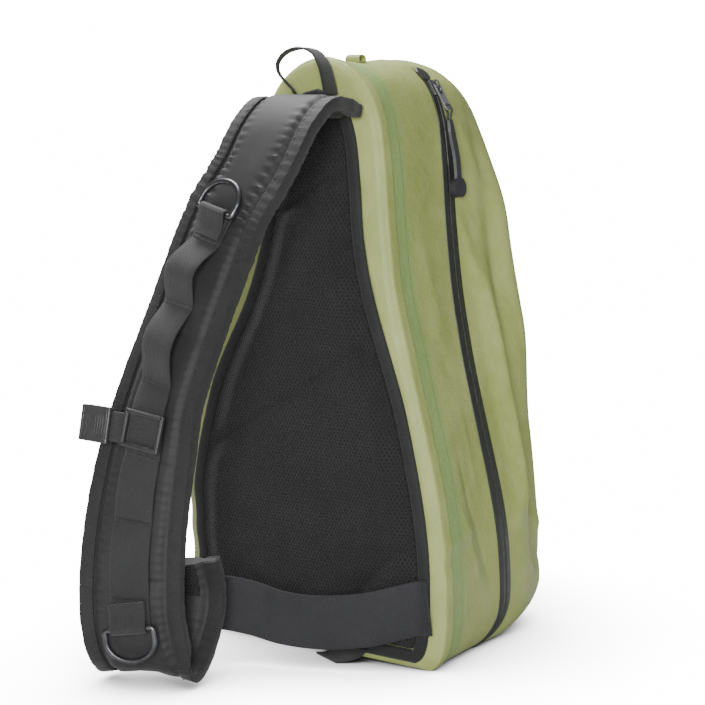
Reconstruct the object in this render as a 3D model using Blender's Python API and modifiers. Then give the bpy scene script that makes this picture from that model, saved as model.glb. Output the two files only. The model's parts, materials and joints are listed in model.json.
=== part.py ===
"""Fishing tackle sling bag.

A hollow welded shell stands on its flat base. A padded mesh panel covers its back, a zipper runs
down its right side, and one padded strap folds over at the top, comes down to the floor, turns
back there and joins a wide band across the bottom of the panel.

Metres, +Z up. -Y is the wearer's side, +X is the zipper's side.
The origin is the middle of the flat base.
"""
from collections import namedtuple
from math import cos, exp, pi, radians, sin, sqrt

import bmesh
import bpy
from mathutils import Matrix, Vector

# Shell
HEIGHT = 0.416
WIDTH = 0.222
DEPTH = 0.172
WALL = 0.002
BASE_BACK = 0.265          # share of DEPTH that lies behind the origin
LEAN = 0.012               # how far the back's top leans away from the wearer
FOOT_DEPTH = 0.70          # share of its depth that the shell keeps at the floor
FOOT_HEIGHT = 0.050        # height where the shell reaches its full depth
RIB_RISE = 0.0015          # height of the welded seam rib above the cloth
GAP = 0.0003               # clearance between pieces that touch

# Back panel
BINDING_WIDTH = 0.009
BINDING_THICK = 0.003
BINDING_INSET = 0.0012
PANEL_EDGE = 0.003
PANEL_THICK = 0.0085
GROOVE_DEPTH = 0.0045
GROOVE_HALF = 0.0065

# Shoulder strap
STRAP_WIDTH = 0.0725
PAD_THICK = 0.012
FLANGE_WIDTH = 0.0095
FLANGE_THICK = 0.005
TAPE_THICK = 0.0013
TAPE_PLAY = 0.0007
STRAP_TOP = 0.3845         # height of the pad's middle at its fold
STRAP_REACH = 0.142        # how far the pad's middle stands off the panel at the floor
MESH_LENGTH = 0.022
MESH_THICK = 0.0012

# Webbing
WEB_WIDTH = 0.028
WEB_THICK = 0.0017
WEB_PLAY = 0.0007          # clearance of webbing that follows the strap's twist
CHEST_WEB_WIDTH = 0.020
HAUL_WIDTH = 0.016
HAUL_RISE = 0.031
BAND_HEIGHT = 0.038
BAND_THICK = 0.002
BASE_TAB_WIDTH = 0.027

# D-rings
RING_WIDTH = 0.038
RING_LENGTH = 0.0255
RING_WIRE = 0.0038
RING_BORE_PLAY = 0.0004
RING_TAB_LENGTH = 0.017

# Chest strap pieces
FRAME_WIDTH = 0.032
FRAME_HEIGHT = 0.025
FRAME_BAR = 0.0032
FRAME_THICK = 0.003
FRAME_TIP = 1.5            # degrees the frame is tipped in the strap's face
CHEST_TIP = 6              # degrees its webbing and buckle are tipped
CHEST_SIDE = 0.002
BUCKLE_LENGTH = 0.024
BUCKLE_HEIGHT = 0.024
BUCKLE_THICK = 0.0085
BUCKLE_WALL = 0.0018
BUCKLE_GRIP = 0.0065       # how far the webbing goes into the buckle
CHEST_WEB_REACH = 0.018    # webbing that shows between the frame and its end in the buckle
FRAME_EDGE = 0.0008

# Zipper
SLOT_FROM = 0.512          # share of DEPTH where the slot's back edge lies
SLOT_WIDTH = 0.0105
SLOT_TOP = 0.980           # share of HEIGHT where the slot ends
TAPE_SINK = 0.0010
TAPE_WALL = 0.0014
COIL_WIDTH = 0.0044
COIL_RISE = 0.0008
GARAGE_LENGTH = 0.013
GARAGE_THICK = 0.0012
GARAGE_SHIFT = 0.0006      # the garage's middle, below the slot's top
SLIDER_GAP = 0.0012        # between the garage and the slider
SLIDER_WIDTH = 0.0085
SLIDER_LENGTH = 0.012
SLIDER_THICK = 0.0030
BRIDGE_WIRE = 0.0014
BRIDGE_HOLE = 0.0030
PULL_WIDTH = 0.0075
PULL_LENGTH = 0.020
PULL_THICK = 0.0014
PULLER_LENGTH = 0.042
PULLER_WIDTH = 0.0085
PULLER_THICK = 0.0048
DISC_RADIUS = 0.0072

HALF = WIDTH / 2
BACK = -BASE_BACK * DEPTH
SLOT_TO = SLOT_FROM + SLOT_WIDTH / DEPTH

OutlineRow = namedtuple("OutlineRow", "height width")
OUTLINE = (                # shares of HEIGHT and HALF, from the base's corner to the crown
    OutlineRow(0.000, 0.880),
    OutlineRow(0.018, 0.955),
    OutlineRow(0.060, 0.993),
    OutlineRow(0.120, 1.000),
    OutlineRow(0.200, 0.985),
    OutlineRow(0.290, 0.932),
    OutlineRow(0.400, 0.835),
    OutlineRow(0.510, 0.720),
    OutlineRow(0.620, 0.610),
    OutlineRow(0.730, 0.530),
    OutlineRow(0.820, 0.485),
    OutlineRow(0.900, 0.430),
    OutlineRow(0.955, 0.335),
    OutlineRow(0.988, 0.185),
    OutlineRow(1.000, 0.000),
)
BASE_INNER = 0.43          # a base point between the middle and the corner, share of HALF
OUTLINE_STEPS = 2

RingRow = namedtuple("RingRow", "name depth width top lift rib bow")
RINGS = (                  # depth and bow in shares of DEPTH, lift of HEIGHT, rib of RIB_RISE
    RingRow("back edge", 0.000, 0.925, 0.978, 0.009, 0.0, 0.000),
    RingRow("back roll", 0.013, 0.972, 0.992, 0.002, 0.3, 0.000),
    RingRow("rib near", 0.032, 0.990, 0.996, 0.000, 1.0, 0.000),
    RingRow("rib far", 0.078, 0.990, 0.996, 0.000, 1.0, 0.000),
    RingRow("rib foot", 0.086, 0.990, 0.996, 0.000, 0.0, 0.000),
    RingRow("line near", 0.160, 0.990, 0.996, 0.000, 0.0, 0.000),
    RingRow("line far", 0.168, 0.990, 0.996, 0.000, -0.5, 0.000),
    RingRow("gusset", 0.370, 0.980, 0.998, 0.000, -0.5, 0.030),
    RingRow("slot near", SLOT_FROM, 0.964, 1.000, 0.000, 0.0, 0.065),
    RingRow("slot far", SLOT_TO, 0.962, 1.000, 0.000, 0.0, 0.065),
    RingRow("ridge", 0.720, 0.975, 0.998, 0.000, 0.0, 0.035),
    RingRow("valley", 0.800, 0.962, 0.988, 0.002, 0.0, 0.020),
    RingRow("corner side", 0.890, 0.935, 0.964, 0.012, 0.0, 0.000),
    RingRow("corner", 0.955, 0.860, 0.922, 0.040, 0.0, 0.000),
    RingRow("corner front", 0.990, 0.730, 0.862, 0.085, 0.0, 0.000),
)
BOW_HEIGHT = 0.43          # share of HEIGHT where the gusset is narrowest
BOW_HALF = 0.24
FRONT_CROWN = 0.010        # share of DEPTH that the front's middle stands beyond its edge
CAP_COLUMNS = 4

FoldRow = namedtuple("FoldRow", "name side low_height low_depth high_height high_depth half rise")
FOLDS = (                  # heights of HEIGHT, depths of DEPTH, half of DEPTH, rise of WALL
    FoldRow("ridge by the zipper", 1, 0.20, 0.730, 0.66, 0.715, 0.050, 1.6),
    FoldRow("valley beside it", 1, 0.12, 0.820, 0.86, 0.800, 0.060, -1.9),
    FoldRow("low gusset dent", 1, 0.08, 0.370, 0.36, 0.370, 0.110, -1.3),
    FoldRow("left gusset dent", -1, 0.20, 0.450, 0.70, 0.450, 0.160, -1.2),
    FoldRow("right front swell", 1, 0.46, 0.920, 0.84, 0.920, 0.170, 7.0),
    FoldRow("left front swell", -1, 0.46, 0.920, 0.84, 0.920, 0.170, 6.5),
    FoldRow("right front foot", 1, 0.06, 0.940, 0.30, 0.940, 0.160, -2.6),
    FoldRow("left front foot", -1, 0.06, 0.940, 0.30, 0.940, 0.160, -2.2),
)
FOLD_END = 0.10            # share of HEIGHT over which a fold fades out

GrooveRow = namedtuple("GrooveRow", "left_side left_height right_side right_height")
GROOVES = (                # sides in shares of HALF, heights in shares of HEIGHT
    GrooveRow(-0.42, 0.712, 0.12, 0.800),
    GrooveRow(-0.88, 0.300, 0.46, 0.540),
    GrooveRow(0.30, 0.085, 0.80, 0.232),
)
PANEL_ROWS = 32
PANEL_COLUMNS = 12

StrapRow = namedtuple("StrapRow", "side reach rise turn web")
STRAP = (                  # side of HALF, reach of STRAP_REACH, rise of the way up to STRAP_TOP,
    #                        turn in degrees about the vertical, web: offset of STRAP_WIDTH
    StrapRow(0.045, 0.000, 0.990, -3, 0.02),
    StrapRow(0.057, 0.091, 0.998, -3, 0.02),
    StrapRow(0.069, 0.218, 0.996, -3, 0.02),
    StrapRow(0.058, 0.344, 0.958, -4, 0.02),
    StrapRow(0.022, 0.454, 0.891, -5, 0.02),
    StrapRow(-0.083, 0.554, 0.810, -6, 0.02),
    StrapRow(-0.176, 0.649, 0.701, -6, -0.02),
    StrapRow(-0.244, 0.737, 0.603, -6, -0.06),
    StrapRow(-0.333, 0.808, 0.497, -3, -0.06),
    StrapRow(-0.382, 0.864, 0.397, 7, -0.03),
    StrapRow(-0.420, 0.909, 0.291, 14, 0.00),
    StrapRow(-0.428, 0.943, 0.196, 19, 0.02),
    StrapRow(-0.411, 0.963, 0.118, 21, 0.02),
    StrapRow(-0.386, 0.955, 0.066, 22, 0.02),
    StrapRow(-0.372, 0.920, 0.034, 22, 0.02),
    StrapRow(-0.365, 0.872, 0.021, 22, 0.02),
    StrapRow(-0.362, 0.820, 0.034, 22, 0.02),
    StrapRow(-0.363, 0.768, 0.062, 21, 0.02),
    StrapRow(-0.368, 0.718, 0.098, 21, 0.02),
    StrapRow(-0.376, 0.694, 0.132, 20, 0.02),
    StrapRow(-0.384, 0.700, 0.162, 20, 0.02),
    StrapRow(-0.390, 0.718, 0.188, 20, 0.02),
)
STATION_BEND = radians(17)
STATION_LENGTH = 0.020

UPPER_TAB_AT = 0.243       # places of the ring bars, in shares of the strap's length from the top
LOWER_TAB_AT = 0.791
CHEST_AT = 0.54            # place of the chest strap, in shares of the stretch of webbing loops

LoopRow = namedtuple("LoopRow", "at bulge")
WEB_LOOPS = (              # bar tacks in shares of that stretch, bulge up to the next tack
    LoopRow(0.00, 0.0100),
    LoopRow(0.19, 0.0085),
    LoopRow(0.41, 0.0020),
    LoopRow(0.61, 0.0015),
    LoopRow(0.79, 0.0015),
    LoopRow(1.00, 0.0),
)
HIGH_LOOP = 0.004          # a bulge above this takes more sections
HIGH_STEPS = 6
LOW_STEPS = 2

RoutePoint = namedtuple("RoutePoint", "side reach height")
BAND = (                   # side of HALF, reach of STRAP_REACH, height of BAND_HEIGHT (its middle)
    RoutePoint(0.932, 0.007, 1.229),
    RoutePoint(0.860, 0.008, 1.195),
    RoutePoint(0.770, 0.046, 1.120),
    RoutePoint(0.585, 0.140, 0.968),
    RoutePoint(0.341, 0.238, 0.891),
    RoutePoint(0.113, 0.306, 0.925),
    RoutePoint(-0.058, 0.358, 1.055),
    RoutePoint(-0.182, 0.446, 1.184),
    RoutePoint(-0.274, 0.541, 1.225),
    RoutePoint(-0.412, 0.611, 1.237),
)
HaulRow = namedtuple("HaulRow", "side rise turn")
HAUL = (                   # side of HALF, rise of HAUL_RISE, turn in degrees about the vertical
    HaulRow(-0.100, 0.00, 124),
    HaulRow(-0.125, 0.12, 124),
    HaulRow(-0.215, 0.42, 124),
    HaulRow(-0.235, 0.66, 123),
    HaulRow(-0.170, 0.90, 118),
    HaulRow(-0.060, 1.00, 110),
    HaulRow(0.050, 0.92, 100),
    HaulRow(0.115, 0.66, 94),
    HaulRow(0.150, 0.30, 92),
    HaulRow(0.170, 0.00, 90),
)
TabRow = namedtuple("TabRow", "side reach height turn pitch")
BASE_TAB = (               # side of HALF, reach of STRAP_REACH, height of WEB_THICK, degrees of
    #                        turn about the vertical and of pitch down towards the wearer's side
    TabRow(0.350, 0.000, 4.70, 0, 60),
    TabRow(0.325, 0.022, 2.30, -7, 48),
    TabRow(0.275, 0.053, 0.95, -15, 18),
    TabRow(0.224, 0.075, 0.54, -23, 0),
)


def clear_scene():
    for obj in list(bpy.data.objects):
        bpy.data.objects.remove(obj, do_unlink=True)


def new_collection(name):
    collection = bpy.data.collections.new(name)
    bpy.context.scene.collection.children.link(collection)
    return collection


def material(name, color, roughness, metallic=0.0):
    """A Principled material of one plain colour."""
    mat = bpy.data.materials.new(name)
    mat.use_nodes = True
    shader = mat.node_tree.nodes["Principled BSDF"]
    shader.inputs["Base Color"].default_value = (*color, 1.0)
    shader.inputs["Roughness"].default_value = roughness
    shader.inputs["Metallic"].default_value = metallic
    mat.diffuse_color = (*color, 1.0)
    return mat


clear_scene()
PARTS = new_collection("fishing_tackle_sling_bag")
CUTTERS = new_collection("cutters")

SHELL_GREEN = material("shell_green", (0.27, 0.31, 0.15), 0.55)
MESH_BLACK = material("mesh_black", (0.022, 0.022, 0.024), 0.9)
CLOTH_BLACK = material("cloth_black", (0.045, 0.045, 0.048), 0.75)
WEB_BLACK = material("web_black", (0.035, 0.035, 0.037), 0.8)
ZIP_BLACK = material("zip_black", (0.020, 0.022, 0.020), 0.45)
RING_METAL = material("ring_metal", (0.10, 0.10, 0.11), 0.3, 1.0)
PULL_METAL = material("pull_metal", (0.45, 0.44, 0.47), 0.35, 1.0)
PLASTIC_BLACK = material("plastic_black", (0.050, 0.050, 0.052), 0.4)
RUBBER_BLACK = material("rubber_black", (0.040, 0.040, 0.044), 0.5)


def catmull(rows, steps):
    """A smooth curve through rows of numbers, with the same number of steps between them."""
    curve = []
    last = len(rows) - 1
    for i in range(last):
        span = [rows[max(i - 1, 0)], rows[i], rows[i + 1], rows[min(i + 2, last)]]
        for k in range(steps):
            t = k / steps
            curve.append(tuple(
                0.5 * (2 * q + (r - p) * t + (2 * p - 5 * q + 4 * r - s) * t ** 2
                       + (3 * q - p - 3 * r + s) * t ** 3)
                for p, q, r, s in zip(*span)))
    curve.append(tuple(rows[last]))
    return curve


def lerp(a, b, share):
    return a + (b - a) * share


def smoothstep(low, high, value):
    t = min(max((value - low) / (high - low), 0.0), 1.0)
    return t * t * (3 - 2 * t)


def lean(z):
    """How far the back lies behind its own base plane at height z."""
    return LEAN * smoothstep(0.45, 1.0, z / HEIGHT)


def foot_share(z):
    """Share of its full depth that the shell has at height z: the front's foot is drawn in."""
    below = 1 - min(max(z / FOOT_HEIGHT, 0.0), 1.0)
    return lerp(1.0, FOOT_DEPTH, below ** 4)


def lookup(pairs, value):
    """Read a line through (value, result) pairs that rise in value."""
    for (a, p), (b, q) in zip(pairs, pairs[1:]):
        if value <= b:
            return lerp(p, q, (value - a) / (b - a)) if b > a else q
    return pairs[-1][1]


def object_from(bm, name, mat, sharp=40):
    """Turn a bmesh into a smooth shaded object in the parts collection."""
    bmesh.ops.recalc_face_normals(bm, faces=bm.faces)
    mesh = bpy.data.meshes.new(name)
    bm.to_mesh(mesh)
    bm.free()
    mesh.shade_smooth()
    mesh.set_sharp_from_angle(angle=radians(sharp))
    mesh.materials.append(mat)
    obj = bpy.data.objects.new(name, mesh)
    PARTS.objects.link(obj)
    return obj


# Shell

def half_outline():
    """(x share, z share) from the base's middle over the right side to the crown."""
    smooth = catmull([(row.width, row.height) for row in OUTLINE], OUTLINE_STEPS)
    base = [(0.0, 0.0), (BASE_INNER, 0.0)]
    return base + [(max(x, 0.0), max(z, 0.0)) for x, z in smooth]


SHARES = half_outline()
HALF_COUNT = len(SHARES)
RING_COUNT = 2 * (HALF_COUNT - 1)


def fold_rise(side, depth, height):
    """Height of the folds above the plain shell, for a place in shares of DEPTH and HEIGHT."""
    total = 0.0
    for fold in FOLDS:
        if fold.side * side <= 0:
            continue
        along = (height - fold.low_height) / (fold.high_height - fold.low_height)
        middle = lerp(fold.low_depth, fold.high_depth, along)
        fade = (smoothstep(fold.low_height - FOLD_END, fold.low_height + FOLD_END, height)
                * (1 - smoothstep(fold.high_height - FOLD_END, fold.high_height + FOLD_END, height)))
        total += fold.rise * WALL * fade * exp(-((depth - middle) / fold.half) ** 2)
    return total


def ring(row):
    """Points of one ring of the shell, anticlockwise seen from -Y, from the base's middle."""
    right = []
    for x, z in SHARES:
        height = HEIGHT * lerp(row.lift, row.top, z)
        right.append(Vector((x * HALF * row.width, 0.0, height)))
    left = [Vector((-p.x, 0.0, p.z)) for p in reversed(right[1:-1])]
    loop = right + left
    normals = []
    for i in range(RING_COUNT):
        along = loop[(i + 1) % RING_COUNT] - loop[i - 1]
        normals.append(Vector((along.z, 0.0, -along.x)).normalized())
    points = []
    for i, (point, normal) in enumerate(zip(loop, normals)):
        share = SHARES[i][1] if i < HALF_COUNT else SHARES[RING_COUNT - i][1]
        side = point.x / HALF
        rise = 0.0
        if share > 0:
            rise = row.rib * RIB_RISE + fold_rise(side, row.depth, share)
        moved = point + normal * rise
        bowed = row.depth - row.bow * exp(-((share - BOW_HEIGHT) / BOW_HALF) ** 2)
        moved.y = BACK + bowed * DEPTH * foot_share(moved.z) + lean(moved.z) * (1 - row.depth)
        points.append(moved)
    return points, normals


def slot_indices():
    """First and last outline point of the zipper's slot, on the right side."""
    low = 3
    high = max(i for i, (x, z) in enumerate(SHARES) if z <= SLOT_TOP)
    return low, high


def ring_at(name):
    return [row.name for row in RINGS].index(name)


def add_cap(bm, verts, crown):
    """Close a ring with rows from its left side to its right side."""
    half = CAP_COLUMNS // 2
    base = [verts[(i - half) % RING_COUNT] for i in range(CAP_COLUMNS + 1)]
    rows = [base]
    for i in range(3, HALF_COUNT - 1):
        left, right = verts[RING_COUNT - i], verts[i]
        row = [left]
        for k in range(1, CAP_COLUMNS):
            share = k / CAP_COLUMNS
            rim = smoothstep(0.0, 0.3, SHARES[i][1]) * (1 - smoothstep(0.75, 1.0, SHARES[i][1]))
            place = left.co.lerp(right.co, share)
            place.y += crown * rim * (1 - (2 * share - 1) ** 2)
            row.append(bm.verts.new(place))
        rows.append(row + [right])
    for lower, upper in zip(rows, rows[1:]):
        for k in range(CAP_COLUMNS):
            bm.faces.new((lower[k], lower[k + 1], upper[k + 1], upper[k]))
    top = verts[HALF_COUNT - 1]
    for k in range(CAP_COLUMNS):
        bm.faces.new((rows[-1][k], rows[-1][k + 1], top))


def make_shell():
    bm = bmesh.new()
    rings = [[bm.verts.new(p) for p in ring(row)[0]] for row in RINGS]
    near = ring_at("slot near")
    low, high = slot_indices()
    for k, (a, b) in enumerate(zip(rings, rings[1:])):
        for i in range(RING_COUNT):
            if k == near and low <= i < high:
                continue
            j = (i + 1) % RING_COUNT
            bm.faces.new((a[i], a[j], b[j], b[i]))
    add_cap(bm, rings[0], 0.0)
    add_cap(bm, rings[-1], FRONT_CROWN * DEPTH)
    obj = object_from(bm, "shell", SHELL_GREEN, sharp=55)
    solid = obj.modifiers.new("wall", "SOLIDIFY")
    solid.thickness = WALL
    solid.offset = -1
    return obj


# Back panel

def back_profile(inset):
    """Right half of the back face's edge, moved inwards: x and z from the base to the crown."""
    points, normals = ring(RINGS[0])
    count = HALF_COUNT
    return [(points[i].x - normals[i].x * inset, points[i].z - normals[i].z * inset)
            for i in range(2, count)]


def closed_loop(half):
    """Mirror a right half of (x, z) to a closed loop, anticlockwise seen from -Y."""
    return half + [(-x, z) for x, z in reversed(half[:-1])]


def make_binding():
    outer = closed_loop(back_profile(BINDING_INSET))
    inner = closed_loop(back_profile(BINDING_INSET + BINDING_WIDTH))
    corner = 0.25
    section = (            # shares of the way inwards and of the thickness
        (0.0, 0.0), (0.0, 0.7), (corner, 1.0), (1 - corner, 1.0), (1.0, 0.7), (1.0, 0.0))
    bm = bmesh.new()
    loops = []
    for (xo, zo), (xi, zi) in zip(outer, inner):
        loop = []
        for across, up in section:
            x, z = lerp(xo, xi, across), lerp(zo, zi, across)
            y = BACK + lean(lerp(zo, zi, across)) - GAP - up * BINDING_THICK
            loop.append(bm.verts.new((x, y, z)))
        loops.append(loop)
    count = len(section)
    for a, b in zip(loops, loops[1:] + loops[:1]):
        for k in range(count):
            m = (k + 1) % count
            bm.faces.new((a[k], a[m], b[m], b[k]))
    return object_from(bm, "panel_binding", WEB_BLACK)


def groove_depth(x, z):
    """How deep the panel's stitched grooves are at a place on it."""
    deepest = 0.0
    for groove in GROOVES:
        a = Vector((groove.left_side * HALF, groove.left_height * HEIGHT))
        b = Vector((groove.right_side * HALF, groove.right_height * HEIGHT))
        along = (b - a).normalized()
        offset = abs((Vector((x, z)) - a).cross(along))
        deepest = max(deepest, GROOVE_DEPTH * exp(-(offset / GROOVE_HALF) ** 2))
    return deepest


def make_panel():
    edge = back_profile(BINDING_INSET + BINDING_WIDTH + GAP)
    heights = sorted((z, x) for x, z in edge)
    low, high = heights[0][0], heights[-1][0]
    bm = bmesh.new()
    front_rows, back_rows = [], []
    for r in range(PANEL_ROWS + 1):
        share = r / PANEL_ROWS
        z = lerp(low + 6 * GAP, high - 4 * GAP, share)
        half = lookup(heights, z) - GAP
        front, back = [], []
        for c in range(PANEL_COLUMNS + 1):
            x = half * (2 * c / PANEL_COLUMNS - 1)
            inside = min(half - abs(x), z - low, high - z)
            puff = smoothstep(0.0, 0.018, inside)
            thick = lerp(PANEL_EDGE, PANEL_THICK, puff) - groove_depth(x, z) * puff
            y = BACK + lean(z) - GAP
            front.append(bm.verts.new((x, y - thick, z)))
            if c in (0, PANEL_COLUMNS):
                back.append(bm.verts.new((x, y, z)))
        front_rows.append(front)
        back_rows.append(back)
    for r in range(PANEL_ROWS):
        a, b = front_rows[r], front_rows[r + 1]
        p, q = back_rows[r], back_rows[r + 1]
        for c in range(PANEL_COLUMNS):
            bm.faces.new((a[c], a[c + 1], b[c + 1], b[c]))
        bm.faces.new((p[0], p[1], q[1], q[0]))
        bm.faces.new((a[0], b[0], q[0], p[0]))
        bm.faces.new((a[-1], p[1], q[1], b[-1]))
    bm.faces.new(front_rows[0] + [back_rows[0][1], back_rows[0][0]])
    bm.faces.new(front_rows[-1] + [back_rows[-1][1], back_rows[-1][0]])
    return object_from(bm, "back_panel", MESH_BLACK)


# Routes and sweeps

class Route:
    """A smooth way through points, with a width direction at each place on it."""

    def __init__(self, points, widths, steps=10):
        rows = [(*p, *w) for p, w in zip(points, widths)]
        samples = catmull(rows, steps)
        self.points = [Vector(s[:3]) for s in samples]
        self.widths = [Vector(s[3:6]) for s in samples]
        self.lengths = [0.0]
        for a, b in zip(self.points, self.points[1:]):
            self.lengths.append(self.lengths[-1] + (b - a).length)
        self.length = self.lengths[-1]

    def frame(self, distance):
        """Place, direction, width direction and outward normal at a distance from the start."""
        distance = min(max(distance, 0.0), self.length)
        i = 0
        while i < len(self.lengths) - 2 and self.lengths[i + 1] < distance:
            i += 1
        step = self.lengths[i + 1] - self.lengths[i]
        share = (distance - self.lengths[i]) / step
        before, after = max(i - 1, 0), min(i + 2, len(self.points) - 1)
        start = (self.points[i + 1] - self.points[before]).normalized()
        end = (self.points[after] - self.points[i]).normalized()
        along = start.lerp(end, share).normalized()
        width = self.widths[i].lerp(self.widths[i + 1], share)
        width = (width - along * width.dot(along)).normalized()
        place = self.points[i].lerp(self.points[i + 1], share)
        return Frame(distance, place, along, width, along.cross(width))

    def stations(self, start=0.0, end=None, bend=STATION_BEND, longest=STATION_LENGTH):
        """Frames from start to end, closer together where the route bends."""
        end = self.length if end is None else end
        frames = [self.frame(start)]
        fine = 0.002
        distance = start + fine
        while distance < end - fine:
            here = self.frame(distance)
            turned = here.along.angle(frames[-1].along)
            twisted = here.width.angle(frames[-1].width)
            if max(turned, twisted) > bend or distance - frames[-1].distance > longest:
                frames.append(here)
            distance += fine
        frames.append(self.frame(end))
        return frames


Frame = namedtuple("Frame", "distance place along width normal")


def at(frame, across, out):
    """A place beside a frame: across its width and out along its normal."""
    return frame.place + frame.width * across + frame.normal * out


def sweep(name, frames, section, mat, sharp=40):
    """Loft a closed section through frames. section(frame) gives (across, out) pairs."""
    bm = bmesh.new()
    loops = [[bm.verts.new(at(f, *pair)) for pair in section(f)] for f in frames]
    count = len(loops[0])
    for a, b in zip(loops, loops[1:]):
        for k in range(count):
            m = (k + 1) % count
            bm.faces.new((a[k], a[m], b[m], b[k]))
    bm.faces.new(loops[0])
    bm.faces.new(loops[-1])
    return object_from(bm, name, mat, sharp)


def flat_section(width, thick, middle=0.0, out=0.0):
    """A flat strip's section, its inner face at height out."""
    half = width / 2
    return [(middle - half, out), (middle + half, out),
            (middle + half, out + thick), (middle - half, out + thick)]


# Shoulder strap

def strap_point(row):
    root = lean(STRAP_TOP) - PANEL_THICK - 3 * GAP
    y = BACK + lerp(root, -STRAP_REACH, row.reach)
    return (row.side * HALF, y, lerp(PAD_THICK / 2, STRAP_TOP, row.rise))


def strap_width(row):
    turn = radians(row.turn)
    return (cos(turn), sin(turn), 0.0)


STRAP_ROUTE = Route([strap_point(row) for row in STRAP], [strap_width(row) for row in STRAP])
UPPER_BAR = UPPER_TAB_AT * STRAP_ROUTE.length
LOWER_BAR = LOWER_TAB_AT * STRAP_ROUTE.length
LOOPS_FROM = UPPER_BAR + RING_TAB_LENGTH * 1.1
LOOPS_TO = LOWER_BAR - RING_TAB_LENGTH * 1.1


def web_offset(distance):
    """Where the webbing's middle lies across the strap."""
    share = distance / STRAP_ROUTE.length * (len(STRAP) - 1)
    i = min(int(share), len(STRAP) - 2)
    return STRAP_WIDTH * lerp(STRAP[i].web, STRAP[i + 1].web, share - i)


def pad_section(frame):
    """The padded strap: a thick middle with a thin flange at each edge."""
    half = STRAP_WIDTH / 2 - TAPE_THICK - TAPE_PLAY
    shoulder = half - FLANGE_WIDTH
    thick = PAD_THICK / 2
    flange = FLANGE_THICK / 2
    flat = shoulder - PAD_THICK * 0.4
    upper = [(half, flange), (shoulder, flange), (flat, thick), (0.0, thick), (-flat, thick),
             (-shoulder, flange), (-half, flange)]
    return upper + [(across, -out) for across, out in reversed(upper)]


def tape_section(side):
    """A C-shaped tape that wraps the pad's flange."""
    def section(frame):
        half = STRAP_WIDTH / 2
        inner = half - TAPE_THICK
        start = half - TAPE_THICK - FLANGE_WIDTH + TAPE_PLAY
        near = FLANGE_THICK / 2 + TAPE_PLAY
        far = near + TAPE_THICK
        pairs = [(start, -far), (inner, -far), (half, -near), (half, near), (inner, far),
                 (start, far), (start, near), (inner, near), (inner, -near), (start, -near)]
        return [(side * across, out) for across, out in pairs]
    return section


def web_distances():
    """Where the webbing's sections lie along the strap."""
    distances = [UPPER_BAR - RING_WIRE, UPPER_BAR + RING_TAB_LENGTH * 0.5]
    for loop, after in zip(WEB_LOOPS, WEB_LOOPS[1:]):
        steps = HIGH_STEPS if loop.bulge > HIGH_LOOP else LOW_STEPS
        for k in range(steps):
            share = lerp(loop.at, after.at, k / steps)
            distances.append(lerp(LOOPS_FROM, LOOPS_TO, share))
    return distances + [LOOPS_TO, LOWER_BAR - RING_TAB_LENGTH * 0.5, LOWER_BAR + RING_WIRE]


def strap_frames():
    """Sections of the whole strap: the webbing's own ones, and more where it bends."""
    distances = web_distances()
    above = STRAP_ROUTE.stations(0.0, distances[0])[:-1]
    below = STRAP_ROUTE.stations(distances[-1])[1:]
    return above + [STRAP_ROUTE.frame(d) for d in distances] + below


def make_strap():
    frames = strap_frames()
    sweep("strap_pad", frames, pad_section, CLOTH_BLACK, sharp=50)
    sweep("strap_binding_left", frames, tape_section(-1), WEB_BLACK)
    sweep("strap_binding_right", frames, tape_section(1), WEB_BLACK)
    patch = [f for f in frames if f.distance > STRAP_ROUTE.length - MESH_LENGTH]
    patch = [STRAP_ROUTE.frame(STRAP_ROUTE.length - MESH_LENGTH)] + patch
    flat = STRAP_WIDTH - 2 * (TAPE_THICK + FLANGE_WIDTH + PAD_THICK * 0.4)
    out = -PAD_THICK / 2 - TAPE_PLAY - MESH_THICK
    sweep("strap_mesh", patch, lambda f: flat_section(flat, MESH_THICK, 0.0, out), MESH_BLACK)


def web_bulge(distance):
    """How far the daisy webbing stands off the pad between its bar tacks."""
    share = (distance - LOOPS_FROM) / (LOOPS_TO - LOOPS_FROM)
    for loop, after in zip(WEB_LOOPS, WEB_LOOPS[1:]):
        if loop.at <= share <= after.at:
            return loop.bulge * sin(pi * (share - loop.at) / (after.at - loop.at)) ** 1.5
    return 0.0


def web_top(distance):
    """Height of the daisy webbing's outer face above the pad's middle."""
    return PAD_THICK / 2 + WEB_PLAY + web_bulge(distance) + WEB_THICK


def web_section(frame):
    out = web_top(frame.distance) - WEB_THICK
    return flat_section(WEB_WIDTH, WEB_THICK, web_offset(frame.distance), out)


def make_daisy_webbing():
    frames = [STRAP_ROUTE.frame(d) for d in web_distances()]
    sweep("daisy_webbing", frames, web_section, WEB_BLACK)


# D-rings and their tabs

def flat_curve(name, outlines, thick, mat):
    """A flat outline with holes as a mesh object, its middle plane at z = 0."""
    curve = bpy.data.curves.new(name, "CURVE")
    curve.dimensions = "2D"
    curve.fill_mode = "BOTH"
    curve.extrude = thick / 2
    for outline in outlines:
        spline = curve.splines.new("POLY")
        spline.points.add(len(outline) - 1)
        for point, (x, y) in zip(spline.points, outline):
            point.co = (x, y, 0.0, 1.0)
        spline.use_cyclic_u = True
    return mesh_of_curve(curve, name, mat)


def wire_curve(name, points, radius, mat, closed=False, resolution=2):
    """A round wire along points as a mesh object."""
    curve = bpy.data.curves.new(name, "CURVE")
    curve.dimensions = "3D"
    curve.bevel_depth = radius
    curve.bevel_resolution = resolution
    curve.use_fill_caps = True
    spline = curve.splines.new("POLY")
    spline.points.add(len(points) - 1)
    for point, place in zip(spline.points, points):
        point.co = (*place, 1.0)
    spline.use_cyclic_u = closed
    return mesh_of_curve(curve, name, mat)


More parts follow.
